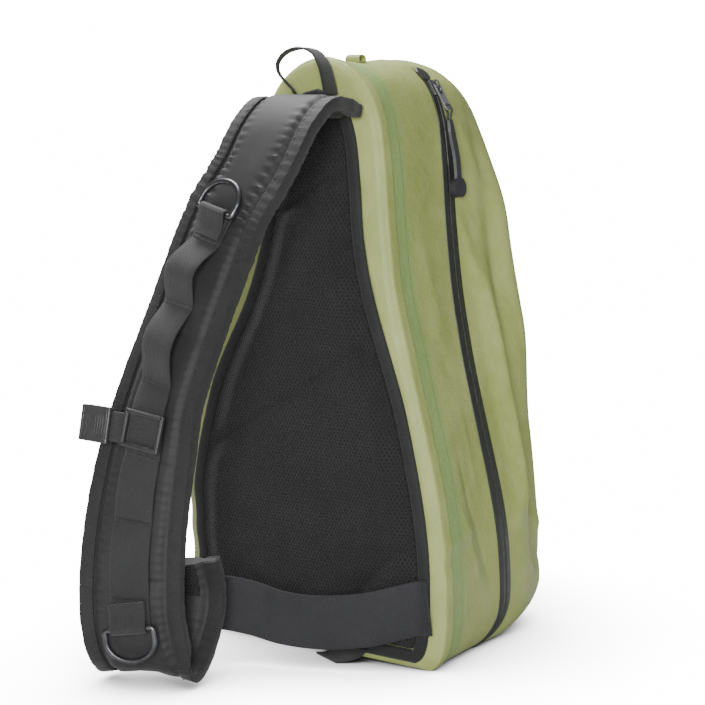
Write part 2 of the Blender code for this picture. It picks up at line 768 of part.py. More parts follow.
def mesh_of_curve(curve, name, mat):
    """Make a curve a mesh with welded caps."""
    guide = bpy.data.objects.new(name + "_curve", curve)
    PARTS.objects.link(guide)
    graph = bpy.context.evaluated_depsgraph_get()
    mesh = bpy.data.meshes.new_from_object(guide.evaluated_get(graph))
    bpy.data.objects.remove(guide, do_unlink=True)
    bm = bmesh.new()
    bm.from_mesh(mesh)
    bmesh.ops.remove_doubles(bm, verts=bm.verts, dist=0.00001)
    bmesh.ops.recalc_face_normals(bm, faces=bm.faces)
    bm.to_mesh(mesh)
    bm.free()
    mesh.name = name
    mesh.shade_smooth()
    mesh.set_sharp_from_angle(angle=radians(40))
    mesh.materials.clear()
    mesh.materials.append(mat)
    obj = bpy.data.objects.new(name, mesh)
    PARTS.objects.link(obj)
    return obj


def set_axes(obj, place, x_axis, y_axis, z_axis):
    """Put an object at a place with its three axes along the given directions."""
    turn = Matrix((x_axis, y_axis, z_axis)).transposed().to_4x4()
    obj.matrix_world = Matrix.Translation(place) @ turn
    return obj


def ring_points():
    """A D: a straight bar on the X axis and a round bow towards +Y."""
    half = (RING_WIDTH - RING_WIRE) / 2
    reach = RING_LENGTH - RING_WIRE
    side = reach * 0.35
    corner = RING_WIRE * 0.45
    bow = [(half * cos(a), side + (reach - side) * sin(a)) for a in [pi * k / 10 for k in range(11)]]
    points = [(-half + corner, 0.0), (0.0, 0.0), (half - corner, 0.0), (half, corner)]
    return [(x, y, 0.0) for x, y in points + bow + [(-half, corner)]]


def tab_outlines():
    """Side view of a folded tab: the fold wraps the ring's bar at the origin."""
    hole = RING_WIRE / 2 + RING_BORE_PLAY
    outer = hole + WEB_THICK * 0.8
    steps = 10
    fold = [(outer * cos(a), outer * sin(a))
            for a in [radians(110) - radians(220) * k / steps for k in range(steps + 1)]]
    sewn = WEB_THICK
    tail = [(-RING_TAB_LENGTH * 0.45, -outer), (-RING_TAB_LENGTH, -outer),
            (-RING_TAB_LENGTH, -outer + 2 * sewn), (-RING_TAB_LENGTH * 0.55, -outer + 2 * sewn)]
    bore = [(hole * cos(a), hole * sin(a)) for a in [2 * pi * k / 12 for k in range(12)]]
    return [fold + tail, bore]


def make_ring(name, distance, up, tilt):
    """A D-ring in its folded tab on the strap. up = 1 points up the strap, -1 down."""
    frame = STRAP_ROUTE.frame(distance)
    hole = RING_WIRE / 2 + RING_BORE_PLAY + WEB_THICK * 0.8
    out = web_top(distance) + 2 * GAP + hole
    place = at(frame, web_offset(frame.distance), out)
    away = -frame.along * up
    across = frame.width * up
    tab = flat_curve(name + "_ring_tab", tab_outlines(), WEB_WIDTH * 0.9, WEB_BLACK)
    set_axes(tab, place, away, frame.normal, away.cross(frame.normal))
    lean_turn = Matrix.Rotation(radians(tilt), 3, across)
    pointing = lean_turn @ away
    ring_obj = wire_curve(name + "_d_ring", ring_points(), RING_WIRE / 2, RING_METAL, closed=True)
    set_axes(ring_obj, place, across, pointing, across.cross(pointing))
    return ring_obj


# Chest strap pieces

def rounded_box(name, size, place, radius, mat):
    """A box with rounded edges, centred at place in its own axes."""
    bpy.ops.mesh.primitive_cube_add(size=1.0, location=(0, 0, 0))
    obj = bpy.context.active_object
    obj.name = name
    obj.data.name = name
    for collection in list(obj.users_collection):
        collection.objects.unlink(obj)
    PARTS.objects.link(obj)
    obj.data.transform(Matrix.Translation(place) @ Matrix.Diagonal((*size, 1.0)))
    obj.data.materials.append(mat)
    if radius:
        bevel = obj.modifiers.new("edges", "BEVEL")
        bevel.width = radius
        bevel.segments = 2
    return obj


def cutter_box(name, size, place, matrix):
    """A box that cuts, placed in the axes of the object that it cuts."""
    obj = rounded_box(name, size, place, 0.0, PLASTIC_BLACK)
    PARTS.objects.unlink(obj)
    CUTTERS.objects.link(obj)
    obj.matrix_world = matrix
    obj.hide_render = True
    obj.display_type = "WIRE"
    return obj


def cut(obj, cutter, operation="DIFFERENCE"):
    """Add a Boolean before the object's bevel."""
    boolean = obj.modifiers.new("cut", "BOOLEAN")
    boolean.operation = operation
    boolean.solver = "EXACT"
    boolean.object = cutter
    names = [m.name for m in obj.modifiers]
    if "edges" in names:
        obj.modifiers.move(len(names) - 1, names.index("edges"))


def chest_axes(tip):
    """Axes on the strap where the chest strap sits: across, up the strap and outwards."""
    distance = lerp(LOOPS_FROM, LOOPS_TO, CHEST_AT)
    frame = STRAP_ROUTE.frame(distance)
    angle = radians(tip)
    right = frame.width * cos(angle) - frame.along * sin(angle)
    up = -frame.along * cos(angle) - frame.width * sin(angle)
    reach = FRAME_HEIGHT / 2
    base = max(web_top(distance + d) for d in (-reach, 0.0, reach)) + 2 * WEB_PLAY
    place = at(frame, web_offset(distance) + CHEST_SIDE, base)
    turn = Matrix((right, up, right.cross(up))).transposed().to_4x4()
    return Matrix.Translation(place) @ turn


def make_sternum_slider():
    """A flat frame on the daisy webbing that holds the chest strap's webbing."""
    matrix = chest_axes(FRAME_TIP)
    middle = Vector((0, 0, WEB_THICK + GAP + FRAME_THICK / 2))
    slider = rounded_box("sternum_slider", (FRAME_WIDTH, FRAME_HEIGHT, FRAME_THICK), middle,
                         FRAME_EDGE, PLASTIC_BLACK)
    slider.matrix_world = matrix
    hole = (FRAME_WIDTH - 2 * FRAME_BAR, FRAME_HEIGHT - 2 * FRAME_BAR, FRAME_THICK * 2)
    cut(slider, cutter_box("slider_window", hole, middle, matrix))


def make_sternum_webbing():
    """The short webbing under the frame, with its buckle past the strap's left edge."""
    matrix = chest_axes(CHEST_TIP)
    left = -FRAME_WIDTH / 2 - CHEST_WEB_REACH
    right = FRAME_WIDTH / 2 - FRAME_BAR
    web = rounded_box("sternum_webbing", (right - left, CHEST_WEB_WIDTH, WEB_THICK),
                      Vector(((left + right) / 2, 0, WEB_THICK / 2)), WEB_THICK / 4, WEB_BLACK)
    web.matrix_world = matrix

    wall = BUCKLE_WALL
    middle = Vector((left + BUCKLE_GRIP - BUCKLE_LENGTH / 2, 0, WEB_THICK / 2))
    end = Vector((BUCKLE_LENGTH / 2, 0, 0))
    buckle = rounded_box("sternum_buckle", (BUCKLE_LENGTH, BUCKLE_HEIGHT, BUCKLE_THICK), middle,
                         FRAME_EDGE * 1.5, PLASTIC_BLACK)
    buckle.matrix_world = matrix
    slot = (2 * (BUCKLE_GRIP + 2 * GAP), CHEST_WEB_WIDTH + 2 * GAP, WEB_THICK + 2 * GAP)
    cut(buckle, cutter_box("buckle_web_slot", slot, middle + end, matrix))
    inside = BUCKLE_THICK - 2 * wall
    mouth = (BUCKLE_LENGTH * 0.9, BUCKLE_HEIGHT - 2 * wall, inside)
    cut(buckle, cutter_box("buckle_mouth", mouth, middle - end, matrix))
    window = (BUCKLE_LENGTH * 0.3, BUCKLE_HEIGHT * 2, inside)
    cut(buckle, cutter_box("buckle_side_window", window, middle - end * 0.25, matrix))


# Bands and handles

def strip(name, points, widths, width, thick, mat):
    """A flat strip of webbing whose middle runs along points."""
    route = Route(points, widths)
    return sweep(name, route.stations(), lambda f: flat_section(width, thick, 0.0, -thick / 2), mat)


def sewn_on_binding(thick):
    """Where the middle of a band lies that is sewn on the panel's binding."""
    return BACK - BINDING_THICK - 2 * GAP - thick / 2


def make_band():
    root = sewn_on_binding(BAND_THICK)
    points = [(p.side * HALF, root - p.reach * STRAP_REACH, p.height * BAND_HEIGHT) for p in BAND]
    strip("bottom_band", points, [(0, 0, 1)] * len(points), BAND_HEIGHT, BAND_THICK, WEB_BLACK)


def make_base_tab():
    root = sewn_on_binding(WEB_THICK)
    frames = []
    for row in BASE_TAB:
        place = Vector((row.side * HALF, root - row.reach * STRAP_REACH, row.height * WEB_THICK))
        turn, pitch = radians(row.turn), radians(row.pitch)
        width = Vector((cos(turn), sin(turn), 0.0))
        normal = Vector((0.0, -sin(pitch), cos(pitch)))
        frames.append(Frame(0.0, place, normal.cross(width), width, normal))
    section = flat_section(BASE_TAB_WIDTH, WEB_THICK, 0.0, -WEB_THICK / 2)
    sweep("base_tab", frames, lambda f: section, WEB_BLACK)


def make_haul_loop():
    root = STRAP_TOP + PAD_THICK / 2 + GAP
    y = BACK + lean(root) - BINDING_THICK - 2 * GAP - HAUL_WIDTH / 2
    points = [(row.side * HALF, y, root + row.rise * HAUL_RISE) for row in HAUL]
    widths = [(cos(radians(row.turn)), sin(radians(row.turn)), 0.0) for row in HAUL]
    strip("haul_loop", points, widths, HAUL_WIDTH, WEB_THICK, WEB_BLACK)


def make_lash_tab():
    """A folded loop of shell cloth on the top, its hole along X."""
    height, length, width = 0.0062, 0.0095, 0.012
    wall = 0.0013
    top_z = HEIGHT * 0.9955
    outer = [(length / 2 * cos(a), height * 0.55 + height * 0.45 * sin(a))
             for a in [pi * k / 8 for k in range(9)]]
    outer = [(length / 2, 0.0)] + outer + [(-length / 2, 0.0)]
    inner = [(x * (1 - 2 * wall / length), wall + z * (1 - 2 * wall / height)) for x, z in outer]
    tab = flat_curve("lash_tab", [outer, inner], width, SHELL_GREEN)
    place = Vector((0.0, BACK + DEPTH * 0.33, top_z + GAP))
    set_axes(tab, place, Vector((0, 1, 0)), Vector((0, 0, 1)), Vector((1, 0, 0)))


# Zipper

def slot_rows():
    """Points and normals of the slot's two edges, from the top down."""
    low, high = slot_indices()
    near, normals = ring(RINGS[ring_at("slot near")])
    far, _ = ring(RINGS[ring_at("slot far")])
    return [(near[i], far[i], normals[i]) for i in range(high, low - 1, -1)]


def make_zip_tape():
    side = GAP / SLOT_WIDTH
    coil = COIL_WIDTH / SLOT_WIDTH / 2
    under = -TAPE_SINK - TAPE_WALL
    crest = -TAPE_SINK + COIL_RISE
    section = ((side, under), (side, -TAPE_SINK), (0.5 - coil, -TAPE_SINK), (0.5 - coil * 0.5, crest),
               (0.5 + coil * 0.5, crest), (0.5 + coil, -TAPE_SINK), (1 - side, -TAPE_SINK),
               (1 - side, under))
    rows = slot_rows()
    ends = {0: 1, len(rows) - 1: -1}
    bm = bmesh.new()
    loops = []
    for k, (near, far, normal) in enumerate(rows):
        shift = Vector((0, 0, 0))
        if k in ends:
            other = rows[k + ends[k]][0]
            shift = (other - near).normalized() * 4 * GAP
        loops.append([bm.verts.new(near.lerp(far, across) + normal * out + shift)
                      for across, out in section])
    count = len(section)
    for a, b in zip(loops, loops[1:]):
        for k in range(count):
            m = (k + 1) % count
            bm.faces.new((a[k], a[m], b[m], b[k]))
    bm.faces.new(loops[0])
    bm.faces.new(loops[-1])
    object_from(bm, "zip_tape", ZIP_BLACK)


def zip_route():
    """The middle of the zipper from a little above the slot down to its foot."""
    low, high = slot_indices()
    near, _ = ring(RINGS[ring_at("slot near")])
    far, _ = ring(RINGS[ring_at("slot far")])
    points = [near[i].lerp(far[i], 0.5) for i in range(high + 2, low, -1)]
    route = Route(points, [(0, 1, 0)] * len(points))
    slot_top = near[high].lerp(far[high], 0.5)
    start = min(range(len(route.points)), key=lambda i: (route.points[i] - slot_top).length)
    return route, route.lengths[start]


ZIP_ROUTE, SLOT_START = zip_route()


def make_garage():
    """An oval plate over the zipper's top end."""
    centre = SLOT_START + GARAGE_SHIFT
    steps = 8
    frames = []
    for k in range(steps + 1):
        share = (2 * k / steps - 1) * 0.97
        frames.append(ZIP_ROUTE.frame(centre + share * GARAGE_LENGTH / 2))

    def section(frame):
        share = (frame.distance - centre) / (GARAGE_LENGTH / 2)
        half = SLOT_WIDTH * 0.62 * sqrt(1 - share ** 2)
        low = 2 * GAP
        high = low + GARAGE_THICK
        return [(-half, low), (half, low), (half * 0.85, high), (-half * 0.85, high)]
    sweep("zip_garage", frames, section, ZIP_BLACK)


def pull_pivot():
    """Frame of the slider and the place of the pull tab's cross bar in it."""
    frame = ZIP_ROUTE.frame(SLOT_START + GARAGE_SHIFT + (GARAGE_LENGTH + SLIDER_LENGTH) / 2 + SLIDER_GAP)
    bar = GAP + SLIDER_THICK + BRIDGE_HOLE / 2
    return frame, bar


def make_slider():
    """The slider's body with a bridge over its back, in axes across, along, out."""
    frame, bar = pull_pivot()
    body = rounded_box("zip_slider", (SLIDER_WIDTH, SLIDER_LENGTH, SLIDER_THICK),
                       Vector((0, 0, GAP * 1.5 + SLIDER_THICK / 2)), 0.0007, RING_METAL)
    set_axes(body, frame.place, frame.width, -frame.along, frame.normal)
    radius = BRIDGE_WIRE / 2
    top = GAP + SLIDER_THICK + BRIDGE_HOLE + radius
    foot = GAP + SLIDER_THICK * 0.6
    reach = SLIDER_LENGTH * 0.36
    arch = [(0, reach, foot), (0, reach, top - radius * 1.5), (0, reach * 0.7, top),
            (0, -reach * 0.7, top), (0, -reach, top - radius * 1.5), (0, -reach, foot)]
    bridge = wire_curve("zip_slider_bridge", arch, radius, RING_METAL)
    bridge.matrix_world = body.matrix_world
    PARTS.objects.unlink(bridge)
    CUTTERS.objects.link(bridge)
    bridge.hide_render = True
    bridge.display_type = "WIRE"
    join = body.modifiers.new("bridge", "BOOLEAN")
    join.operation = "UNION"
    join.solver = "EXACT"
    join.object = bridge


def make_pull():
    """The metal pull tab and its rubber puller, both turning about the tab's cross bar."""
    frame, bar = pull_pivot()
    pivot = at(frame, 0.0, bar)
    pin = PULL_THICK / 2
    half = PULL_WIDTH / 2
    window = SLIDER_LENGTH / 2 + 0.0016
    hole = 0.0022
    outer = [(-half, pin), (half, pin), (half, -PULL_LENGTH + half * 0.6),
             (half * 0.6, -PULL_LENGTH), (-half * 0.6, -PULL_LENGTH),
             (-half, -PULL_LENGTH + half * 0.6)]
    eye_half = half - 0.0016
    eye = [(-eye_half, -pin), (-eye_half, -window), (eye_half, -window), (eye_half, -pin)]
    foot = -PULL_LENGTH + 0.0038
    bore = [(hole * cos(a), foot + hole * 0.8 * sin(a)) for a in [2 * pi * k / 10 for k in range(10)]]
    tab = flat_curve("zip_pull_tab", [outer, eye, bore], PULL_THICK, PULL_METAL)
    set_axes(tab, pivot, frame.width, -frame.along, frame.normal)

    ahead = PULL_LENGTH - 0.0038
    steps = 9
    start = frame.distance + ahead
    points, widths = [], []
    for k in range(steps + 1):
        share = k / steps
        here = ZIP_ROUTE.frame(start + 0.0085 + share * PULLER_LENGTH)
        skew = lerp(0.001, 0.0065, smoothstep(0.0, 0.7, share))
        out = lerp(bar + 0.0004, PULLER_THICK / 2 + 2.5 * GAP + COIL_RISE, smoothstep(0.0, 0.5, share))
        points.append(at(here, skew, out))
        widths.append(tuple(here.width))
    route = Route(points, widths, steps=3)

    def section(f):
        share = f.distance / route.length
        half_w = PULLER_WIDTH / 2 * lerp(0.62, 1.0, smoothstep(0.0, 0.25, share))
        half_t = PULLER_THICK / 2
        return [(half_w * cos(a), half_t * sin(a)) for a in [2 * pi * k / 8 for k in range(8)]]
    puller = sweep("zip_puller", route.stations(longest=0.006), section, RUBBER_BLACK, sharp=60)

    end = route.frame(route.length)
    centre = end.place + end.along * DISC_RADIUS * 0.75
    add_disc(puller, centre, end)
    top = route.frame(0.0)
    add_eye(puller, frame, pivot, foot, top)
    puller_origin(puller, pivot, frame)
    return tab


def add_disc(puller, centre, frame):
    """Round end of the puller, fused to its body."""
    bpy.ops.mesh.primitive_cylinder_add(vertices=20, radius=DISC_RADIUS, depth=PULLER_THICK * 1.08)
    disc = bpy.context.active_object
    disc.name = "zip_puller_disc"
    move_to_cutters(disc)
    set_axes(disc, centre, frame.width, frame.along, frame.width.cross(frame.along))
    join(puller, disc)


def add_eye(puller, frame, pivot, foot, top):
    """A cord through the tab's hole whose two ends run into the puller's top."""
    hole = pivot - frame.along * foot
    wire = 0.0008
    rise = PULL_THICK / 2 + wire + 2 * GAP
    inside = top.place + top.along * 0.0030
    spread = PULLER_THICK * 0.22
    points = [inside + top.normal * spread,
              top.place + top.normal * spread - top.along * 0.0004,
              hole + frame.along * 0.0052 + frame.normal * rise,
              hole + frame.along * 0.0004 + frame.normal * rise,
              hole - frame.along * 0.0005,
              hole + frame.along * 0.0004 - frame.normal * rise,
              hole + frame.along * 0.0052 - frame.normal * rise,
              top.place - top.normal * spread - top.along * 0.0004,
              inside - top.normal * spread]
    cord = wire_curve("zip_puller_cord", points, wire, RUBBER_BLACK)
    move_to_cutters(cord)
    join(puller, cord)


def move_to_cutters(obj):
    for collection in list(obj.users_collection):
        collection.objects.unlink(obj)
    CUTTERS.objects.link(obj)
    obj.hide_render = True
    obj.display_type = "WIRE"


def join(obj, other):
    boolean = obj.modifiers.new("join", "BOOLEAN")
    boolean.operation = "UNION"
    boolean.solver = "EXACT"
    boolean.object = other


def puller_origin(obj, pivot, frame):
    """Move an object's origin to the pivot without moving its shape."""
    obj.data.transform(Matrix.Translation(-pivot))
    obj.location = pivot


make_shell()
make_panel()
make_binding()
make_strap()
make_daisy_webbing()
make_ring("upper", UPPER_BAR, 1, -6)
make_ring("lower", LOWER_BAR, -1, -1.5)
make_sternum_slider()
make_sternum_webbing()
make_band()
make_base_tab()
make_haul_loop()
make_lash_tab()
make_zip_tape()
make_garage()
make_slider()
make_pull()
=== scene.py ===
# %% [markdown]
# # Fishing tackle sling bag
# The bag is a welded shell of coated cloth with a padded mesh back and one padded strap.
# Its solids were made first, as plain shapes. This script loads them as a fixed frame and dresses
# them: each soft piece gets its own denser shape with folds and seams, and each finish is built
# from nodes. The camera, the floor and the light come first, so every later step can be looked at.

# %% Load the frame
import json
from collections import namedtuple
from math import cos, exp, pi, radians, sin, sqrt

import bmesh
import bpy
from mathutils import Matrix, Vector, noise

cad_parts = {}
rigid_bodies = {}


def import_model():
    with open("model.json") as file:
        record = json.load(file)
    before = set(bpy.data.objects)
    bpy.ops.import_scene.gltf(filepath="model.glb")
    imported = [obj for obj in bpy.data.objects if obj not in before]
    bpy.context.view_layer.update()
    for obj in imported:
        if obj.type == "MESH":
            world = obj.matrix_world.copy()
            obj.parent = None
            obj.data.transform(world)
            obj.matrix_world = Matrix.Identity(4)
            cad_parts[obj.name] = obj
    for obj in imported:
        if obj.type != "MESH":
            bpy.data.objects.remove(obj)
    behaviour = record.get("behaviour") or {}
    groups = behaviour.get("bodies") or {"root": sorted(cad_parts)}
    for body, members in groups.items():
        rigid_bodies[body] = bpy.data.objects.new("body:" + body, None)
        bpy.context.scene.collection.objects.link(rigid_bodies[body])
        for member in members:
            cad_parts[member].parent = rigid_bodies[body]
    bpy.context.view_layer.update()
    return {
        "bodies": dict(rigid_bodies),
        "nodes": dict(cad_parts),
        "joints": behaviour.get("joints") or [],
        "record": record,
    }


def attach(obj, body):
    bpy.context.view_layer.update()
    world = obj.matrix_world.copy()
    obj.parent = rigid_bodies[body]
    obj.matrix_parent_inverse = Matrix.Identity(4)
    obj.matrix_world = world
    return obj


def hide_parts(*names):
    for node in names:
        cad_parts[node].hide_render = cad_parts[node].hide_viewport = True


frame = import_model()
NODES = frame["nodes"]

# %% [markdown]
# ## Camera
# A product photo is taken from some way off with a long lens, so that upright lines stay nearly
# parallel. The camera stands a little above the bag's middle and looks down by eight degrees.

# %% Place the camera
LENS = 90.18
CAMERA_PLACE = (0.7247, -1.0279, 0.3839)
lens = bpy.data.cameras.new("photo_camera")
lens.lens = LENS
lens.sensor_width = 36
lens.clip_start = 0.05
camera = bpy.data.objects.new("photo_camera", lens)
camera.location = CAMERA_PLACE
camera.rotation_euler = (radians(82), 0, radians(35))
bpy.context.scene.collection.objects.link(camera)
bpy.context.scene.camera = camera
print("camera at", CAMERA_PLACE)

# %% [markdown]
# ## Light
# Big soft lamps stand for a studio's white boxes. The main one stands beside the camera and lights
# the side with the zipper, and one above lights the crown. An even surround fills the shadows. A
# camera ray sees that surround much brighter than the bag does, as in a photo whose white backdrop
# is lit on its own.

# %% Set up the light
ROOM_LIGHT, WHITE_OUT = 0.27, 16.0      # the surround's strength for the bag and for the camera
world = bpy.data.worlds.new("white_room")
world.use_nodes = True
backdrop = world.node_tree.nodes["Background"]
backdrop.inputs["Color"].default_value = (1.0, 1.0, 1.0, 1.0)
ray = world.node_tree.nodes.new("ShaderNodeLightPath")
seen = world.node_tree.nodes.new("ShaderNodeMapRange")
seen.inputs["To Min"].default_value = ROOM_LIGHT
seen.inputs["To Max"].default_value = WHITE_OUT
world.node_tree.links.new(ray.outputs["Is Camera Ray"], seen.inputs["Value"])
world.node_tree.links.new(seen.outputs["Result"], backdrop.inputs["Strength"])
bpy.context.scene.world = world


def soft_lamp(name, place, aim, size, power):
    """A square area lamp at a place, turned towards another."""
    data = bpy.data.lights.new(name, "AREA")
    data.size = size
    data.energy = power
    lamp = bpy.data.objects.new(name, data)
    lamp.location = place
    way = Vector(aim) - Vector(place)
    lamp.rotation_euler = way.to_track_quat("-Z", "Y").to_euler()
    bpy.context.scene.collection.objects.link(lamp)
    return lamp


soft_lamp("top_box", (-0.45, 0.20, 1.45), (0.0, 0.0, 0.3), 0.7, 34)
soft_lamp("main_box", (0.92, -1.62, 0.60), (0.0, 0.0, 0.2), 0.7, 42)

# %% [markdown]
# ## Helpers for nodes
# A finish is a small network of nodes. These helpers place a Math node, a blend of two colours or
# a soft step in one line, so that each recipe further down reads like a formula.

# %% Node helpers


def plug(tree, socket, value):
    """Link an output to a socket, or set the socket to a plain value."""
    if isinstance(value, bpy.types.NodeSocket):
        tree.links.new(value, socket)
    else:
        socket.default_value = value


def calc(tree, operation, a, b=0.0, c=None):
    """One Math node. Only MULTIPLY_ADD takes a third value, which it adds."""
    node = tree.nodes.new("ShaderNodeMath")
    node.operation = operation
    plug(tree, node.inputs[0], a)
    plug(tree, node.inputs[1], b)
    if c is not None:
        plug(tree, node.inputs[2], c)
    return node.outputs[0]


def blend_colors(tree, share, a, b):
    """A colour between a and b."""
    node = tree.nodes.new("ShaderNodeMix")
    node.data_type = "RGBA"
    plug(tree, node.inputs["Factor"], share)
    plug(tree, node.inputs["A"], (*a, 1.0) if isinstance(a, tuple) else a)
    plug(tree, node.inputs["B"], (*b, 1.0) if isinstance(b, tuple) else b)
    return node.outputs["Result"]


def band(tree, value, low, high):
    """0 below low, 1 above high, and a soft step between them."""
    node = tree.nodes.new("ShaderNodeMapRange")
    node.interpolation_type = "SMOOTHSTEP"
    plug(tree, node.inputs["Value"], value)
    node.inputs["From Min"].default_value = low
    node.inputs["From Max"].default_value = high
    return node.outputs["Result"]


def linear(red, green, blue):
    """A colour as a screen shows it (0 to 255), in the linear values that shaders use."""
    def convert(value):
        value = value / 255
        return value / 12.92 if value <= 0.04045 else ((value + 0.055) / 1.055) ** 2.4
    return (convert(red), convert(green), convert(blue))


print("a mid green is", [round(v, 3) for v in linear(148, 155, 114)])

# %% [markdown]
# ## Shared patterns
# Three patterns turn up in more than one finish, so each is a node group with its own inputs:
# crossing threads, the round holes of spacer mesh, and soft cloudy patches where cloth has rubbed.

# %% Build the pattern groups


def new_group(name, inputs, outputs):
    """An empty node group with named sockets."""
    group = bpy.data.node_groups.new(name, "ShaderNodeTree")
    for socket, kind, value in inputs:
        made = group.interface.new_socket(socket, in_out="INPUT", socket_type=kind)
        if value is not None:
            made.default_value = value
    for socket in outputs:
        group.interface.new_socket(socket, in_out="OUTPUT", socket_type="NodeSocketFloat")
    entry = group.nodes.new("NodeGroupInput")
    leave = group.nodes.new("NodeGroupOutput")
    return group, entry.outputs, leave.inputs


def threads_group():
    """Crossing threads: Height rises at a crossing, Over is 1 where the long thread is on top."""
    group, given, result = new_group(
        "crossing_threads",
        [("Vector", "NodeSocketVector", None), ("Across", "NodeSocketFloat", 0.001),
         ("Along", "NodeSocketFloat", 0.001)], ["Height", "Over"])
    parts = group.nodes.new("ShaderNodeSeparateXYZ")
    group.links.new(given["Vector"], parts.inputs[0])
    waves = []
    for axis, width in ((0, "Across"), (1, "Along")):
        turns = calc(group, "DIVIDE", parts.outputs[axis], given[width])
        waves.append(calc(group, "SINE", calc(group, "MULTIPLY", turns, pi)))
    both = calc(group, "MULTIPLY", *waves)
    group.links.new(calc(group, "ABSOLUTE", both), result["Height"])
    group.links.new(calc(group, "MULTIPLY_ADD", both, 0.5, 0.5), result["Over"])
    return group


def holes_group():
    """Round holes in offset rows, as in spacer mesh. Hole is 1 inside a hole."""
    group, given, result = new_group(
        "mesh_holes",
        [("Vector", "NodeSocketVector", None), ("Pitch", "NodeSocketFloat", 0.0024)],
        ["Hole"])
    parts = group.nodes.new("ShaderNodeSeparateXYZ")
    group.links.new(given["Vector"], parts.inputs[0])
    distances = []
    for shift in (0.0, 0.5):
        squares = []
        for axis, stretch in ((0, 1.0), (1, 1.732)):
            pitch = calc(group, "MULTIPLY", given["Pitch"], stretch)
            place = calc(group, "ADD", calc(group, "DIVIDE", parts.outputs[axis], pitch), shift)
            off = calc(group, "SUBTRACT", calc(group, "FRACT", place), 0.5)
            squares.append(calc(group, "POWER", calc(group, "MULTIPLY", calc(
                group, "ABSOLUTE", off), stretch), 2.0))
        distances.append(calc(group, "SQRT", calc(group, "ADD", *squares)))
    nearest = calc(group, "MINIMUM", *distances)
    group.links.new(calc(group, "SUBTRACT", 1.0, band(group, nearest, 0.22, 0.40)), result["Hole"])
    return group


def patches_group():
    """Soft cloudy patches of two sizes mixed, from 0 to 1."""
    group, given, result = new_group(
        "cloudy_patches",
        [("Vector", "NodeSocketVector", None), ("Scale", "NodeSocketFloat", 20.0)], ["Mask"])
    sizes = []
    for factor in (1.0, 4.3):
        cloud = group.nodes.new("ShaderNodeTexNoise")
        cloud.inputs["Detail"].default_value = 3.0
        group.links.new(given["Vector"], cloud.inputs["Vector"])
        group.links.new(calc(group, "MULTIPLY", given["Scale"], factor), cloud.inputs["Scale"])
        sizes.append(cloud.outputs["Fac"])
    mixed = calc(group, "ADD", calc(group, "MULTIPLY", sizes[0], 0.65),
                 calc(group, "MULTIPLY", sizes[1], 0.35))
    group.links.new(band(group, mixed, 0.32, 0.68), result["Mask"])
    return group


THREADS, HOLES, PATCHES = threads_group(), holes_group(), patches_group()
print("groups", [g.name for g in bpy.data.node_groups])

# %% [markdown]
# ## Finishes
# Each finish starts from the same frame: a Principled shader, a place to read patterns from, and a
# Bump node for relief. What differs is the recipe of colours and patterns, given as a function.

# %% Frame of a finish


class Finish:
    """A material under construction, with its shader, coordinates and pattern groups at hand."""

    def __init__(self, name, roughness, metallic=0.0, specular=0.5):
        self.material = bpy.data.materials.new(name)
        self.material.use_nodes = True
        self.tree = self.material.node_tree
        self.shader = self.tree.nodes["Principled BSDF"]
        self.shader.inputs["Roughness"].default_value = roughness
        self.shader.inputs["Metallic"].default_value = metallic
        self.shader.inputs["Specular IOR Level"].default_value = specular
        coords = self.tree.nodes.new("ShaderNodeTexCoord")
        self.object_place = coords.outputs["Object"]
        self.uv = coords.outputs["UV"]

    def group(self, group, output, vector, **values):
        """Place a pattern group that reads vector, and return one of its outputs."""
        node = self.tree.nodes.new("ShaderNodeGroup")
        node.node_tree = group
        self.tree.links.new(vector, node.inputs["Vector"])
        for name, value in values.items():
            node.inputs[name].default_value = value
        return node.outputs[output]

    def color(self, value):
        """Set or link the base colour."""
        plug(self.tree, self.shader.inputs["Base Color"],
             (*value, 1.0) if isinstance(value, tuple) else value)

    def roughness(self, value):
        """Set or link the roughness."""
        plug(self.tree, self.shader.inputs["Roughness"], value)

    def relief(self, height, depth, strength=1.0):
        """Add a bump on top of those before it. depth is in metres."""
        node = self.tree.nodes.new("ShaderNodeBump")
        node.inputs["Strength"].default_value = strength
        node.inputs["Distance"].default_value = depth
        self.tree.links.new(height, node.inputs["Height"])
        before = self.shader.inputs["Normal"].links
        if before:
            self.tree.links.new(before[0].from_socket, node.inputs["Normal"])
        self.tree.links.new(node.outputs["Normal"], self.shader.inputs["Normal"])


print("finishes start from a Principled shader")

# %% [markdown]
# ## Coated shell cloth
# The shell is nylon with a rubbery coating: nearly smooth, with a soft shine and a faint grain of
# threads. Two strips along the back edge are welded, and heat has turned them a greener shade. Dark
# lines along them are partly the welds' edges and partly painted shade on the rib's rounded edges.
# The shell's UV map holds shares of its depth and height, so the strips can be drawn by depth.

# %% Shell finish
WELD_STRIP = (0.082, 0.092, 0.150, 0.225)      # where the greener strip starts and ends, in depth
WELD_AND_SHADE_LINES = (             # depth, half width and how dark
    (0.088, 0.003, 0.40), (0.118, 0.002, 0.22), (0.163, 0.0035, 0.40), (0.222, 0.0025, 0.22))


